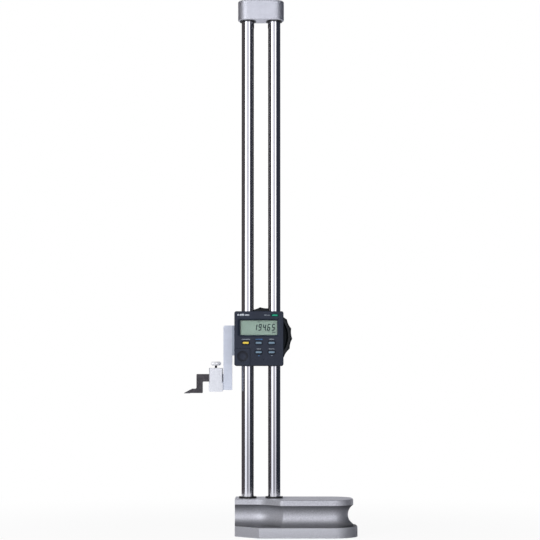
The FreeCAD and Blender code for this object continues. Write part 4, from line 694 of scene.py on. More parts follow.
class Look(Enum):
    """Every finish on the gauge."""

    BASE = TexturedEnamel("base_enamel", (0.69, 0.70, 0.755), 0.40, 0.76)
    COLUMN = GroundChrome("column_chrome", (0.80, 0.80, 0.84), 0.055)
    RACK = MachinedMetal(
        "rack_steel", (0.032, 0.032, 0.037), 0.5, line=0.3 * MM, depth=0.001 * MM, wear=0.1
    )
    COLLAR = SoftRubber("collar_rubber", (0.010, 0.010, 0.012), 0.36)
    SCREW = OxideSteel("screw_oxide", (0.022, 0.021, 0.023), 0.38)
    CAP = MachinedMetal("cap_aluminium", (0.83, 0.85, 0.92), 0.5, grain=Grain.ACROSS)
    SLIDER = MachinedMetal("slider_anodised", (0.045, 0.05, 0.06), 0.42, 0.6, Grain.NONE, 0.4 * MM)
    BUSH = SinteredBronze("bush_bronze", (0.52, 0.33, 0.15), 0.4)
    BRACKET = MachinedMetal("bracket_steel", (0.79, 0.84, 0.94), 0.42, 0.95)
    SPACER = MachinedMetal("spacer_steel", (0.56, 0.62, 0.71), 0.42)
    NICKEL = MachinedMetal("clamp_nickel", (0.82, 0.84, 0.89), 0.42, 0.78)
    THUMB = MachinedMetal("thumb_nickel", (0.92, 0.93, 0.97), 0.5, 0.55, wear=0.1)
    SHAFT = MachinedMetal("shaft_steel", (0.50, 0.50, 0.52), 0.24, grain=Grain.NONE)
    PLATE = MachinedMetal("plate_steel", (0.38, 0.38, 0.40), 0.36, grain=Grain.ACROSS)
    SCRIBER = OxideSteel("scriber_steel", (0.070, 0.066, 0.073), 0.36, wear=0.3)
    CARBIDE = MachinedMetal("tip_carbide", (0.16, 0.16, 0.17), 0.25, grain=Grain.ACROSS, line=0.2 * MM)
    NYLON = MouldedPlastic("washer_nylon", (0.72, 0.71, 0.67), 0.45)
    WHEEL = MouldedPlastic("wheel_plastic", (0.004, 0.008, 0.012), 0.30, coat=0.25)
    INNER = MouldedPlastic("inner_plastic", (0.016, 0.016, 0.018), 0.5)
    HOUSING = MouldedPlastic("housing_plastic", srgb(31, 36, 48), 0.48, specular=0.35)
    COVER = DishedPlastic("cover_plastic", srgb(31, 36, 48), 0.48, specular=0.35)
    BEZEL = MouldedPlastic(
        "bezel_plastic", srgb(29, 38, 51), 0.35, specular=0.2, grain=0.2 * MM, depth=0.004 * MM
    )
    # The skirt is a real part, but its near-black colour is painted shade for each key's well
    SKIRT = MouldedPlastic("key_skirt_rubber", srgb(3, 8, 16), 0.6, specular=0.2)
    LENS_RIM = MouldedPlastic("lens_rim_plastic", srgb(4, 44, 46), 0.5, specular=0.25)
    BOARD = CircuitBoard("board_mask", (0.02, 0.11, 0.05), 0.35)
    CELL = MachinedMetal("cell_steel", (0.66, 0.66, 0.67), 0.22, grain=Grain.NONE)
    WINDOW = ClearWindow("display_window", (0.3, 0.32, 0.33), 0.04)
    DISPLAY = DisplayGlass("display_face", srgb(176, 202, 188), 0.45)
    SEGMENT = Ink("display_segment", srgb(8, 34, 38), 0.4)
    PALE_SEGMENT = Ink("pale_segment", srgb(74, 96, 92), 0.4)
    LENS = TintedLens("indicator_green", srgb(8, 146, 112), 0.25)
    YELLOW = KeyCap("key_yellow", srgb(212, 184, 66), 0.4, coat=0.2)
    GREY = KeyCap("key_grey", srgb(100, 122, 141), 0.42, coat=0.2)
    WHITE_INK = Ink("ink_white", srgb(205, 212, 222), 0.5)
    GREY_INK = Ink("ink_grey", srgb(140, 148, 158), 0.5)
    BLUE_INK = Ink("ink_blue", srgb(62, 112, 165), 0.5)


class Palette:
    """Makes each finish once, when it is first asked for."""

    def __init__(self) -> None:
        """Start with no material made."""
        self._made: dict[Look, bpy.types.Material] = {}

    def get(self, look: Look) -> bpy.types.Material:
        """Return the material of a finish.

        Args:
            look: The finish.

        Returns:
            Its material.
        """
        if look not in self._made:
            self._made[look] = look.value.make()
        return self._made[look]

    def dress(self, obj: Piece, look: Look) -> None:
        """Give an object one finish, in every material slot that it has.

        Args:
            obj: A CAD node or a new piece.
            look: The finish.
        """
        if not obj.material_slots:
            obj.data.materials.append(self.get(look))
        for slot in obj.material_slots:
            slot.material = self.get(look)
        LOG.info("%s is dressed in %s", obj.name, look.value.name)


# Modelling by hand


class Pick(Enum):
    """What is selected in edit mode."""

    VERT = "verts"
    EDGE = "edges"
    FACE = "faces"


class Bench:
    """The small steps of hand modelling that the new pieces share."""

    boldness: float = 0.03
    merge_distance: float = 1e-7
    nearly_half: float = 1 / 2.02
    round_segments: int = 6
    curve_steps: int = 4
    straight: float = 0.99
    square_on: float = 0.9

    @staticmethod
    def clear() -> None:
        """Leave edit mode and deselect every object."""
        if bpy.context.object and bpy.context.object.mode != "OBJECT":
            bpy.ops.object.mode_set(mode="OBJECT")
        bpy.ops.object.select_all(action="DESELECT")

    @classmethod
    def take(cls, obj: Piece) -> None:
        """Make one object the selected and active one."""
        cls.clear()
        obj.select_set(True)
        bpy.context.view_layer.objects.active = obj

    @staticmethod
    def call(obj: Piece, name: str) -> Piece:
        """Name an object and its mesh, and return it."""
        obj.name = obj.data.name = name
        return obj

    @classmethod
    def settle(cls, name: str) -> Piece:
        """Name the object just added and move its place, turn and scale into its mesh.

        Args:
            name: Its name.

        Returns:
            The object.
        """
        made = cls.call(bpy.context.object, name)
        cls.take(made)
        bpy.ops.object.transform_apply(location=True, rotation=True, scale=True)
        return made

    @classmethod
    def block(cls, name: str, centre: Triple, size: Triple) -> Piece:
        """Add a block at its size and place.

        Args:
            name: The piece's name.
            centre: The block's centre.
            size: Its length along each axis.

        Returns:
            The block, with its place in its mesh.
        """
        cls.clear()
        bpy.ops.mesh.primitive_cube_add(size=1.0, location=centre)
        bpy.context.object.scale = size
        return cls.settle(name)

    @staticmethod
    def pick(obj: Piece, what: Pick, test: Callable[[object], bool]) -> None:
        """Select elements of the mesh in edit mode by a test.

        Args:
            obj: The object in edit mode.
            what: Vertices, edges or faces.
            test: Says of a bmesh element whether it is wanted.
        """
        bpy.ops.mesh.select_mode(type=what.name)
        bpy.ops.mesh.select_all(action="DESELECT")
        mesh = bmesh.from_edit_mesh(obj.data)
        for element in getattr(mesh, what.value):
            if test(element):
                element.select_set(True)
        mesh.select_flush_mode()
        bmesh.update_edit_mesh(obj.data)

    @staticmethod
    def faces_y(face: bmesh.types.BMFace) -> bool:
        """Say whether a face looks along Y, forwards or backwards."""
        return abs(face.normal.y) > Bench.square_on

    @staticmethod
    def runs_y(edge: bmesh.types.BMEdge) -> bool:
        """Say whether an edge runs along Y."""
        return abs((edge.verts[0].co - edge.verts[1].co).normalized().y) > Bench.straight

    @classmethod
    def edit(cls, obj: Piece) -> None:
        """Open one object in edit mode."""
        cls.take(obj)
        bpy.ops.object.mode_set(mode="EDIT")

    @classmethod
    def leave(cls) -> None:
        """Merge doubles, turn faces outwards and go back to object mode."""
        bpy.ops.mesh.select_all(action="SELECT")
        bpy.ops.mesh.remove_doubles(threshold=cls.merge_distance)
        bpy.ops.mesh.normals_make_consistent(inside=False)
        bpy.ops.object.mode_set(mode="OBJECT")

    @classmethod
    def round_corners(cls, obj: Piece, radius: float, segments: int) -> None:
        """Round, in edit mode, the edges of a block that run front to back.

        Args:
            obj: The block in edit mode.
            radius: The corner's radius.
            segments: How many faces make the round; 1 makes a chamfer.
        """
        cls.pick(obj, Pick.EDGE, cls.runs_y)
        bpy.ops.mesh.bevel(offset=radius, segments=segments, affect="EDGES")

    @classmethod
    def ring(cls, name: str, centre: Triple, size: Triple, rim: float) -> Piece:
        """Model a flat ring with round ends, seen from the front.

        Args:
            name: The piece's name.
            centre: The ring's centre.
            size: Its outer size along each axis.
            rim: How wide the ring is from its edge to the opening.

        Returns:
            The ring.
        """
        made = cls.block(name, centre, size)
        cls.edit(made)
        cls.round_corners(made, size[2] * cls.nearly_half, cls.round_segments)
        cls.pick(made, Pick.FACE, cls.faces_y)
        bpy.ops.mesh.inset(thickness=rim)
        bpy.ops.mesh.bridge_edge_loops()
        cls.leave()
        return made

    @classmethod
    def copy(cls, obj: Piece, name: str, matrix: Matrix) -> Piece:
        """Copy a piece, mesh and all, to another place.

        Args:
            obj: The piece.
            name: The copy's name.
            matrix: How the copy lies from the piece.

        Returns:
            The copy.
        """
        made = obj.copy()
        made.data = obj.data.copy()
        bpy.context.scene.collection.objects.link(made)
        made.data.transform(matrix)
        return cls.call(made, name)

    @classmethod
    def join(cls, name: str, parts: list[Piece]) -> Piece:
        """Join several pieces into the first of them.

        Args:
            name: The new name of the first piece.
            parts: Two pieces or more.

        Returns:
            The joined piece.
        """
        cls.take(parts[0])
        for part in parts:
            part.select_set(True)
        bpy.ops.object.join()
        return cls.call(parts[0], name)

    @classmethod
    def text(cls, name: str, words: str, centre: Triple, size: Triple) -> Piece:
        """Print words on a face that looks along -Y.

        Args:
            name: The piece's name.
            words: What is printed.
            centre: The middle of the print, on the face.
            size: How wide and how tall the print is, and how far it stands off the face.

        Returns:
            The words as a closed mesh.
        """
        cls.clear()
        bpy.ops.object.text_add(location=ORIGIN)
        curve = bpy.context.object.data
        curve.body = words
        curve.size = 1.0
        curve.extrude = 0.5
        curve.offset = cls.boldness
        curve.resolution_u = cls.curve_steps
        bpy.ops.object.convert(target="MESH")
        made = cls.call(bpy.context.object, name)
        spans = [[vertex.co[k] for vertex in made.data.vertices] for k in range(3)]
        low, high = (Vector([end(span) for span in spans]) for end in (min, max))
        wide, tall, lift = size
        made.data.transform(Matrix.Translation(-(low + high) / 2))
        made.data.transform(Matrix.Diagonal((wide / (high.x - low.x), tall / (high.y - low.y), lift, 1.0)))
        made.data.transform(Matrix.Rotation(QUARTER_TURN, 4, "X"))
        made.data.transform(Matrix.Translation(Vector(centre) + Vector((0.0, -lift / 2, 0.0))))
        cls.edit(made)
        cls.leave()
        return made


# Sub-assemblies


@dataclass
class Assembly:
    """What every sub-assembly shares: the frame, the palette and the CAD nodes that take each look."""

    frame: dict[str, object]
    palette: Palette
    looks: ClassVar[dict[Look, str]] = {}

    def dress(self) -> None:
        """Give each CAD node of this sub-assembly its finish."""
        for look, nodes in self.looks.items():
            for node in nodes.split():
                self.palette.dress(self.frame["nodes"][node], look)

    def build(self) -> list[Piece]:
        """Model the pieces that the CAD frame lacks, and return them."""
        return []

    def add(self, piece: Piece, look: Look, body: str) -> Piece:
        """Dress a new piece and let it ride on a body.

        Args:
            piece: The new piece, in place.
            look: Its finish.
            body: The CAD body that it moves with.

        Returns:
            The piece.
        """
        self.palette.dress(piece, look)
        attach(piece, body)
        return piece


class Stand(Assembly):
    """The base, the two columns with their racks, and the top cap."""

    looks: ClassVar[dict[Look, str]] = {
        Look.BASE: "base",
        Look.COLUMN: "left_column right_column",
        Look.RACK: "left_rack right_rack",
        Look.COLLAR: "base_collars cap_rings",
        Look.SCREW: "column_bolts cap_screws",
        Look.CAP: "top_cap",
    }


class Slider(Assembly):
    """The slider body with its bushes, cover, clamp and bracket."""

    looks: ClassVar[dict[Look, str]] = {
        Look.SLIDER: "slider_body gear_cover",
        Look.BUSH: "bush_left_lower bush_left_upper bush_right_lower bush_right_upper "
        "feed_bush_front feed_bush_rear encoder_bush clamp_pad",
        Look.SCREW: "cover_screws clamp_screw bracket_screws",
        Look.NICKEL: "clamp_lever",
        Look.BRACKET: "bracket",
        Look.SPACER: "bracket_block",
    }


class Gearing(Assembly):
    """The handwheel, its shaft and the encoder's shaft."""

    looks: ClassVar[dict[Look, str]] = {
        Look.SHAFT: "feed_shaft encoder_shaft",
        Look.NYLON: "thrust_washer",
        Look.WHEEL: "handwheel",
        Look.SCREW: "wheel_screw",
        Look.BOARD: "encoder_disc",
    }


@dataclass
class ScriberGroup(Assembly):
    """The clamp box, its thumbscrew and the scriber."""

    neck_radius: float = 1.5 * MM
    neck_low: float = 237.95 * MM
    thread_depth: float = 0.28 * MM
    thread_pitch: float = 0.8 * MM
    thread_turns: int = 4
    thread_sides: int = 32
    looks: ClassVar[dict[Look, str]] = {
        Look.NICKEL: "scriber_clamp",
        Look.THUMB: "thumbscrew",
        Look.SCRIBER: "scriber",
        Look.CARBIDE: "scriber_tip",
    }

    def build(self) -> list[Piece]:
        """Model the crests of the thread on the thumbscrew's neck.

        Returns:
            The crests.
        """
        low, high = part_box("thumbscrew")
        centre = ((low.x + high.x) / 2, (low.y + high.y) / 2, self.neck_low + self.thread_pitch / 2)
        crest = self.build_crest(centre)
        made = []
        for turn in range(self.thread_turns):
            rise = Matrix.Translation((0.0, 0.0, turn * self.thread_pitch))
            piece = Bench.copy(crest, f"thumbscrew_thread_{turn + 1}", rise)
            made.append(self.add(piece, Look.SCREW, "thumbscrew"))
        bpy.data.objects.remove(crest)
        return made

    def build_crest(self, centre: Triple) -> Piece:
        """Model one turn of the thread as a ring with a sharp crest.

        Args:
            centre: The ring's centre.

        Returns:
            The ring.
        """
        Bench.clear()
        bpy.ops.mesh.primitive_cylinder_add(
            vertices=self.thread_sides, radius=self.neck_radius, depth=self.thread_pitch, location=centre
        )
        ring = Bench.settle("thread_crest")
        Bench.edit(ring)
        bpy.ops.mesh.select_all(action="SELECT")
        bpy.ops.mesh.bisect(plane_co=centre, plane_no=(0.0, 0.0, 1.0))
        Bench.pick(ring, Pick.VERT, lambda vert: abs(vert.co.z - centre[2]) < self.thread_pitch / 10)
        grow = (self.neck_radius + self.thread_depth) / self.neck_radius
        bpy.ops.transform.resize(value=(grow, grow, 1.0), center_override=centre)
        Bench.leave()
        return ring


@dataclass(frozen=True)
class Print:
    """Words printed on a face, with their left, right, low and high sides in millimetres."""

    name: str
    words: str
    sides: Sides
    look: Look = Look.GREY_INK


class Bar(Enum):
    """The two bars that make every digit, and how far each is turned."""

    FLAT = 0.0
    TALL = QUARTER_TURN


SEGMENT_OF: dict[str, tuple[Bar, int, int]] = {
    "a": (Bar.FLAT, 0, 2),
    "b": (Bar.TALL, 1, 1),
    "c": (Bar.TALL, 1, -1),
    "d": (Bar.FLAT, 0, -2),
    "e": (Bar.TALL, -1, -1),
    "f": (Bar.TALL, -1, 1),
    "g": (Bar.FLAT, 0, 0),
}
DIGITS: dict[str, str] = {"1": "bc", "4": "bcfg", "5": "acdfg", "6": "acdefg", "9": "abcdfg"}


@dataclass
class DisplayUnit(Assembly):
    """The display housing with its keys, printed words and reading."""

    reading: str = "19465"
    point_after: int = 2
    digit_pitch: float = 6.2 * MM
    last_digit_x: float = 17.5 * MM
    digit_width: float = 4.4 * MM
    digit_height: float = 9.5 * MM
    digit_middle: float = 294.25 * MM
    stroke: float = 1.4 * MM
    bar_corner: float = 0.588 * MM
    flat_trim: float = 0.7 * MM
    tall_trim: float = 0.42 * MM
    point_corner: float = 0.42 * MM
    point_shift: float = 1.05 * MM
    slant: float = math.radians(8)
    ink_lift: float = 0.03 * MM
    bezel_rim: float = 0.25 * MM
    bezel_inset: float = 0.06 * MM
    screen: Sides = (-29.0 * MM, 23.0 * MM, 283.2 * MM, 304.3 * MM)
    bezel: Sides = (-32.34 * MM, 27.14 * MM, 281.66 * MM, 306.24 * MM)
    well: tuple[float, float] = (11.6 * MM, 6.5 * MM)
    well_floor: float = -47.1 * MM
    skirt_thickness: float = 0.35 * MM
    cap_gap: float = 0.2 * MM
    lens_rim: Triple = (11.3 * MM, 0.15 * MM, 4.1 * MM)
    lens_rim_width: float = 1.0 * MM
    prints: tuple[Print, ...] = (
        Print("print_range", "0-600 mm", (-32.6, -16.2, 310.4, 313.0), Look.WHITE_INK),
        Print("print_step", "0.01 mm", (4.8, 12.4, 310.5, 311.9)),
        Print("print_origin", "ORIGIN", (-26.4, -15.0, 276.6, 278.0)),
        Print("print_mode", "MODE", (-7.2, 2.4, 276.6, 278.0), Look.BLUE_INK),
        Print("print_zero", "ZERO", (11.8, 18.3, 276.6, 278.0)),
        Print("print_hold", "HOLD", (-5.6, 0.2, 263.3, 264.6)),
        Print("print_data", "DATA", (11.4, 19.2, 263.3, 264.6)),
        Print("print_plus", "+", (-3.4, -1.9, 253.8, 255.3), Look.BLUE_INK),
        Print("print_minus", "-", (14.4, 16.2, 254.3, 254.9)),
    )
    marks: tuple[Print, ...] = (
        Print("mark_unit", "mm", (16.0, 20.9, 286.1, 288.1), Look.SEGMENT),
        Print("mark_set", "SET", (-4.4, -0.2, 301.1, 302.1), Look.PALE_SEGMENT),
    )
    looks: ClassVar[dict[Look, str]] = {
        Look.HOUSING: "front_housing screw_plug",
        Look.COVER: "battery_cover",
        Look.SCREW: "case_screw plate_screws",
        Look.PLATE: "back_plate",
        Look.CELL: "battery_cell",
        Look.BUSH: "battery_contact",
        Look.WINDOW: "lcd_window",
        Look.DISPLAY: "lcd_panel",
        Look.INNER: "lcd_carrier key_switches encoder_reader output_connector",
        Look.BOARD: "circuit_board",
        Look.LENS: "indicator_lens",
        Look.YELLOW: "button_origin",
        Look.GREY: "button_mode button_zero button_hold button_data",
    }

    def build(self) -> list[Piece]:
        """Model the bezel, the key skirts, the lens rim, the reading and the printed words.

        Returns:
            The new pieces.
        """
        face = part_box("front_housing")[0].y
        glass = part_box("lcd_panel")[0].y
        made = [self.build_bezel(), self.build_lens_rim(), *self.build_skirts(), *self.build_reading(glass)]
        made += [self.build_print(words, face) for words in self.prints]
        made += [self.build_print(words, glass) for words in self.marks]
        return made

    def build_bezel(self) -> Piece:
        """Model the frame round the window, whose four sides slope down to the glass.

        Returns:
            The frame.
        """
        left, right, low, high = self.bezel
        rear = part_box("lcd_window")[0].y
        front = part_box("front_housing")[0].y + self.bezel_inset
        centre = ((left + right) / 2, (rear + front) / 2, (low + high) / 2)
        frame = Bench.block("bezel_frame", centre, (right - left, rear - front, high - low))
        Bench.edit(frame)
        Bench.pick(frame, Pick.FACE, Bench.faces_y)
        bpy.ops.mesh.inset(thickness=self.bezel_rim)
        for axis, side, edge, goal in zip((0, 0, 2, 2), (-1, 1, -1, 1), self.bezel, self.screen):
            Bench.pick(frame, Pick.VERT, lambda vert: self.slopes(vert.co, centre, axis, side))
            move = [0.0, 0.0, 0.0]
            move[axis] = goal - edge + side * self.bezel_rim
            bpy.ops.transform.translate(value=move)
        Bench.pick(frame, Pick.FACE, lambda face: Bench.faces_y(face) and self.is_opening(face))
        bpy.ops.mesh.bridge_edge_loops()
        Bench.leave()
        return self.add(frame, Look.BEZEL, "slider_unit")

    def in_opening(self, point: Vector) -> bool:
        """Say whether a corner belongs to the opening of the bezel, front or rear."""
        (left, right, low, high), edge = self.bezel, self.bezel_rim / 2
        return left + edge < point.x < right - edge and low + edge < point.z < high - edge

    def slopes(self, point: Vector, centre: Triple, axis: int, side: int) -> bool:
        """Say whether a corner ends a slope: at the rear opening, on one side of it."""
        return self.in_opening(point) and point.y > centre[1] and (point[axis] - centre[axis]) * side > 0

    def is_opening(self, face: bmesh.types.BMFace) -> bool:
        """Say whether a face of the bezel fills its opening, front or rear."""
        return all(self.in_opening(vert.co) for vert in face.verts)

    def build_skirts(self) -> list[Piece]:
        """Model the soft skirt that fills each key's well round its cap; its near-black colour is painted
        shade in the well.

        Returns:
            The five skirts.
        """
        made = []
        for key in ("origin", "mode", "zero", "hold", "data"):
            low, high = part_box(f"button_{key}")
            middle = self.well_floor - self.skirt_thickness / 2
            centre = ((low.x + high.x) / 2, middle, (low.z + high.z) / 2)
            size = (self.well[0], self.skirt_thickness, self.well[1])
            rim = (self.well[1] - (high.z - low.z)) / 2 - self.cap_gap
            made.append(self.add(Bench.ring(f"skirt_{key}", centre, size, rim), Look.SKIRT, "slider_unit"))
        return made

    def build_lens_rim(self) -> Piece:
        """Model the dark rim on the front of the indicator's lens.

        Returns:
            The rim.
        """
        low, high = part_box("indicator_lens")
        centre = ((low.x + high.x) / 2, low.y - self.lens_rim[1] / 2, (low.z + high.z) / 2)
        rim = Bench.ring("lens_rim", centre, self.lens_rim, self.lens_rim_width)
        return self.add(rim, Look.LENS_RIM, "slider_unit")

    def build_reading(self, glass: float) -> list[Piece]:
        """Model the digits of the reading from one lying and one standing bar.

        Args:
            glass: The Y of the display's face.

        Returns:
            The digits and the point.
        """
        lengths = {
            Bar.FLAT: self.digit_width - self.flat_trim,
            Bar.TALL: self.digit_height / 2 - self.tall_trim,
        }
        bars = {
            kind: self.build_bar("bar", length, glass, self.bar_corner, 1)
            for kind, length in lengths.items()
        }
        made = []
        for place, digit in enumerate(self.reading):
            x = self.last_digit_x - (len(self.reading) - 1 - place) * self.digit_pitch
            parts = [self.lay_bar(bars, letter) for letter in DIGITS[digit]]
            piece = Bench.join(f"digit_{place + 1}", parts)
            lean = Matrix.Identity(4)
            lean[0][2] = math.tan(self.slant)
            piece.data.transform(Matrix.Translation((x, 0.0, self.digit_middle)) @ lean)
            made.append(piece)
        point = self.build_bar("decimal_point", self.stroke, glass, self.point_corner, 3)
        gap_x = self.last_digit_x - (len(self.reading) - 1.5 - self.point_after) * self.digit_pitch
        low = self.digit_middle - (self.digit_height - self.stroke) / 2
        point.data.transform(Matrix.Translation((gap_x - self.point_shift, 0.0, low)))
        for bar in bars.values():
            bpy.data.objects.remove(bar)
        return [self.add(piece, Look.SEGMENT, "slider_unit") for piece in (*made, point)]

    def build_bar(
        self, name: str, length: float, glass: float, corner: float, segments: int
    ) -> Piece:
        """Model one bar of a digit, lying at the origin.

        Args:
            name: Its name.
            length: How long it is, from end to end.
            glass: The Y of the face that it lies on.
            corner: How much of each corner goes.
            segments: How many faces round the corner; 1 makes a point of the end.

        Returns:
            The bar.
        """
        bar = Bench.block(name, (0.0, glass - self.ink_lift / 2, 0.0), (length, self.ink_lift, self.stroke))
        Bench.edit(bar)
        Bench.round_corners(bar, corner, segments)
        Bench.leave()
        return bar

    def lay_bar(self, bars: dict[Bar, Piece], letter: str) -> Piece:
        """Copy a bar to its place in a digit.

        Args:
            bars: The lying and the standing bar.
            letter: The segment that it makes.

        Returns:
            The copy.
        """
        kind, half_widths, quarter_heights = SEGMENT_OF[letter]
        x = half_widths * (self.digit_width - self.stroke) / 2
        z = quarter_heights * (self.digit_height - self.stroke) / 4
        turn = Matrix.Rotation(kind.value, 4, "Y")
        return Bench.copy(bars[kind], f"bar_{letter}", Matrix.Translation((x, 0.0, z)) @ turn)

    def build_print(self, words: Print, face: float) -> Piece:
        """Print words on a face.

        Args:
            words: What is printed and where.
            face: The Y of the face.

        Returns:
            The print.
        """
        left, right, low, high = (side * MM for side in words.sides)
        centre = ((left + right) / 2, face, (low + high) / 2)
        made = Bench.text(words.name, words.words, centre, (right - left, high - low, self.ink_lift))
        return self.add(made, words.look, "slider_unit")


# Studio


class Card(Enum):
    """The cards that only mirrors show: two bearings, two heights, and the tones low down and higher up.

    A bearing runs from -Y towards +X, in degrees, seen from the object.
    """

    LEFT_DARK = (-150.0, -50.0, 0.0, 1.2, (0.080, 0.070, 0.076), (0.085, 0.076, 0.076))
    LEFT_BRIGHT = (-50.0, -17.0, 0.0, 1.2, (1.08, 1.10, 1.16), (2.2, 2.2, 2.26))
    MIDDLE_GREY = (-17.0, 17.0, 0.0, 1.2, (0.30, 0.30, 0.33), (0.66, 0.65, 0.70))
    RIGHT_BRIGHT = (17.0, 38.0, 0.0, 1.2, (0.70, 0.70, 0.76), (1.75, 1.75, 1.81))
    RIGHT_DARK = (38.0, 150.0, 0.0, 1.2, (0.022, 0.027, 0.038), (0.032, 0.036, 0.050))
    UPPER_DARK = (-150.0, 150.0, 1.2, 1.6, (0.06, 0.06, 0.07), (0.06, 0.06, 0.07))
    REAR_LEFT = (-180.0, -150.0, 0.0, 1.6, (0.95, 0.93, 0.97), (0.34, 0.34, 0.37))
    REAR_RIGHT = (150.0, 180.0, 0.0, 1.6, (0.95, 0.93, 0.97), (0.34, 0.34, 0.37))


class Lamp(Enum):
    """The soft boxes: two bearings in degrees and a radiance."""

    LEFT = (-57.0, -16.0, 6.8)
    RIGHT = (16.0, 41.0, 1.8)
    REAR = (160.0, 200.0, 1.5)


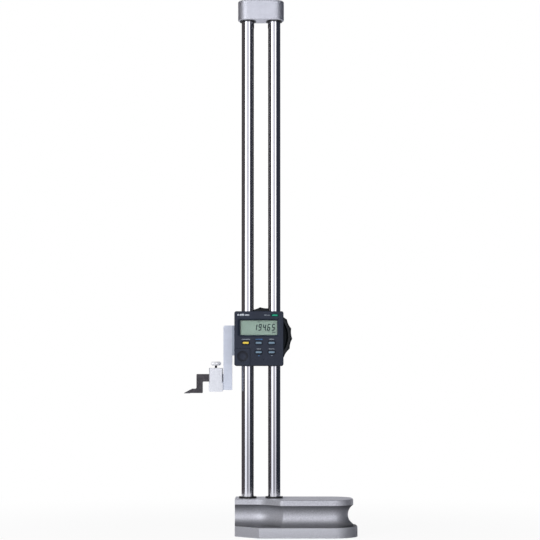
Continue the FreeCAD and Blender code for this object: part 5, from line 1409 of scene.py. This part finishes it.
@dataclass
class Studio:
    """Camera, lamps, floor and the cards that the polished metal mirrors."""

    camera_place: Triple = (0.0129, -2.4, 0.215)
    camera_tilt: float = math.radians(2.0045)
    camera_shift: float = 55.03 / PHOTO_SIDE
    focal_pixels: float = 1684.0
    near_clip: float = 0.05
    far_clip: float = 100.0
    lamp_distance: float = 1.3
    lamp_foot: float = 0.25
    lamp_height: float = 1.45
    card_distance: float = 0.9
    card_height: float = 1.6
    card_gap: float = 0.0005
    card_facets: int = 360
    disc_facets: int = 96
    fade_height: float = 0.45
    ceiling_tone: Triple = (0.06, 0.06, 0.07)
    apron_tone: Triple = (0.07, 0.07, 0.08)
    apron_far_tone: Triple = (0.85, 0.85, 0.88)
    apron_near: float = 0.05
    apron_far: float = 0.28
    ambient: float = 0.16
    ambient_tone: Triple = (0.97, 0.98, 1.0)
    floor_side: float = 60.0
    floor_share: float = 0.93
    floor_near: float = 0.15
    floor_far: float = 0.9
    paper_dark: Triple = (0.44, 0.44, 0.45)
    paper_light: Triple = (0.48, 0.48, 0.49)

    def build(self) -> None:
        """Make the whole studio."""
        self.build_camera()
        self.build_world()
        self.build_floor()
        for lamp in Lamp:
            self.build_lamp(lamp)
        for card in Card:
            self.build_card(card)
        self.build_disc("ceiling_card", self.card_height, self.ceiling_tone, self.ceiling_tone)
        self.build_disc("apron_card", self.card_gap, self.apron_tone, self.apron_far_tone)

    def build_camera(self) -> None:
        """Put the camera where the photograph was taken from."""
        data = bpy.data.cameras.new("camera")
        data.sensor_width = SENSOR_WIDTH
        data.lens = self.focal_pixels / PHOTO_SIDE * SENSOR_WIDTH
        data.shift_y = self.camera_shift
        data.clip_start = self.near_clip
        data.clip_end = self.far_clip
        camera = bpy.data.objects.new("camera", data)
        camera.location = self.camera_place
        camera.rotation_euler = (QUARTER_TURN + self.camera_tilt, 0.0, 0.0)
        bpy.context.scene.collection.objects.link(camera)
        bpy.context.scene.camera = camera
        bpy.context.scene.view_settings.view_transform = "Standard"
        LOG.info("camera is in place")

    def build_world(self) -> None:
        """Show white behind the object and light it softly from all round."""
        world = bpy.data.worlds.new("world")
        bpy.context.scene.world = world
        graph = Graph(world)
        soft = graph.node("Background", {"Color": self.ambient_tone, "Strength": self.ambient})
        white = graph.node("Background", {"Color": WHITE})
        graph.show(graph.node("MixShader", {0: graph.seen(), 1: soft, 2: white}))
        LOG.info("world is in place")

    def build_floor(self) -> None:
        """Lay a wide pale floor that stays white but keeps the object's shadow."""
        Bench.clear()
        bpy.ops.mesh.primitive_plane_add(size=self.floor_side, location=ORIGIN)
        floor = bpy.context.object
        floor.name = "floor"
        graph = Graph(bpy.data.materials.new("floor_paper"))
        pulp = graph.blend(graph.noise(3 * MM, 3.0), self.paper_dark, self.paper_light)
        paper = graph.node("BsdfDiffuse", {"Color": pulp})
        glow = graph.node("Emission", {"Color": WHITE})
        away = graph.reach("XY").ramp(self.floor_near, self.floor_far)
        share = graph.seen() * (away * (1.0 - self.floor_share) + self.floor_share)
        floor.data.materials.append(graph.show(graph.node("MixShader", {0: share, 1: paper, 2: glow})))
        LOG.info("floor is in place")

    def build_lamp(self, lamp: Lamp) -> None:
        """Stand a soft box between two bearings, seen from the object.

        Args:
            lamp: Which of the lamps.
        """
        low, high, radiance = lamp.value
        middle, half = math.radians(low + high) / 2, math.radians(high - low) / 2
        data = bpy.data.lights.new(f"{lamp.name.lower()}_lamp", "AREA")
        data.shape = "RECTANGLE"
        data.size = 2 * self.lamp_distance * math.tan(half)
        data.size_y = self.lamp_height
        data.energy = radiance * math.pi * data.size * self.lamp_height
        box = bpy.data.objects.new(data.name, data)
        across, along = self.lamp_distance * math.sin(middle), -self.lamp_distance * math.cos(middle)
        box.location = (across, along, self.lamp_foot + self.lamp_height / 2)
        box.rotation_euler = (QUARTER_TURN, 0.0, middle)
        box.visible_glossy = False
        bpy.context.scene.collection.objects.link(box)
        LOG.info("%s is in place", box.name)

    def build_card(self, card: Card) -> None:
        """Stand a curved card round the object, which only mirrors show.

        Args:
            card: Which of the cards.
        """
        low, high, foot, head, foot_tone, tone = card.value
        Bench.clear()
        bpy.ops.mesh.primitive_cylinder_add(
            vertices=self.card_facets,
            radius=self.card_distance,
            depth=head - foot,
            end_fill_type="NOTHING",
            location=(0.0, 0.0, (foot + head) / 2 + self.card_gap),
        )
        sheet = Bench.settle(f"{card.name.lower()}_card")
        Bench.edit(sheet)
        Bench.pick(sheet, Pick.FACE, lambda face: not low < self.bearing(face.calc_center_median()) < high)
        bpy.ops.mesh.delete(type="FACE")
        bpy.ops.object.mode_set(mode="OBJECT")
        graph = Graph(bpy.data.materials.new(f"{sheet.name}_tone"))
        rise = graph.axis("Z").ramp(0.0, self.fade_height)
        self.light_card(sheet, graph, graph.blend(rise, foot_tone, tone))

    def build_disc(self, name: str, height: float, tone: Triple, far_tone: Triple) -> None:
        """Lay a round card over or under the object, which only mirrors show.

        Args:
            name: The card's name.
            height: How high it lies.
            tone: The light that it gives back beside the object.
            far_tone: The light that it gives back further off.
        """
        Bench.clear()
        bpy.ops.mesh.primitive_circle_add(
            vertices=self.disc_facets,
            radius=self.card_distance,
            fill_type="NGON",
            location=(0.0, 0.0, height),
        )
        card = Bench.settle(name)
        graph = Graph(bpy.data.materials.new(f"{name}_tone"))
        away = abs(graph.axis("Y")).ramp(self.apron_near, self.apron_far)
        self.light_card(card, graph, graph.blend(away, tone, far_tone))

    @staticmethod
    def bearing(point: Vector) -> float:
        """Return the bearing of a point from -Y towards +X, in degrees."""
        return math.degrees(math.atan2(point.x, -point.y))

    @staticmethod
    def light_card(card: Piece, graph: Graph, tone: Value) -> None:
        """Give a card its tone and hide it from everything but mirrors.

        Args:
            card: The card.
            graph: The graph of its material.
            tone: The light that it gives back.
        """
        card.data.materials.append(graph.show(graph.node("Emission", {"Color": tone})))
        for rays in ("camera", "diffuse", "transmission", "volume_scatter", "shadow"):
            setattr(card, f"visible_{rays}", False)
        LOG.info("%s is in place", card.name)


def main() -> None:
    """Load the frame, dress it, model what it lacks and light it."""
    logging.basicConfig(level=logging.INFO, format="%(name)s: %(message)s")
    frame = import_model()
    palette = Palette()
    for assembly in (Stand, Slider, Gearing, ScriberGroup, DisplayUnit):
        made = assembly(frame, palette)
        made.dress()
        for piece in made.build():
            LOG.info("%s is modelled", piece.name)
    Studio().build()


if __name__ == "__main__":
    main()
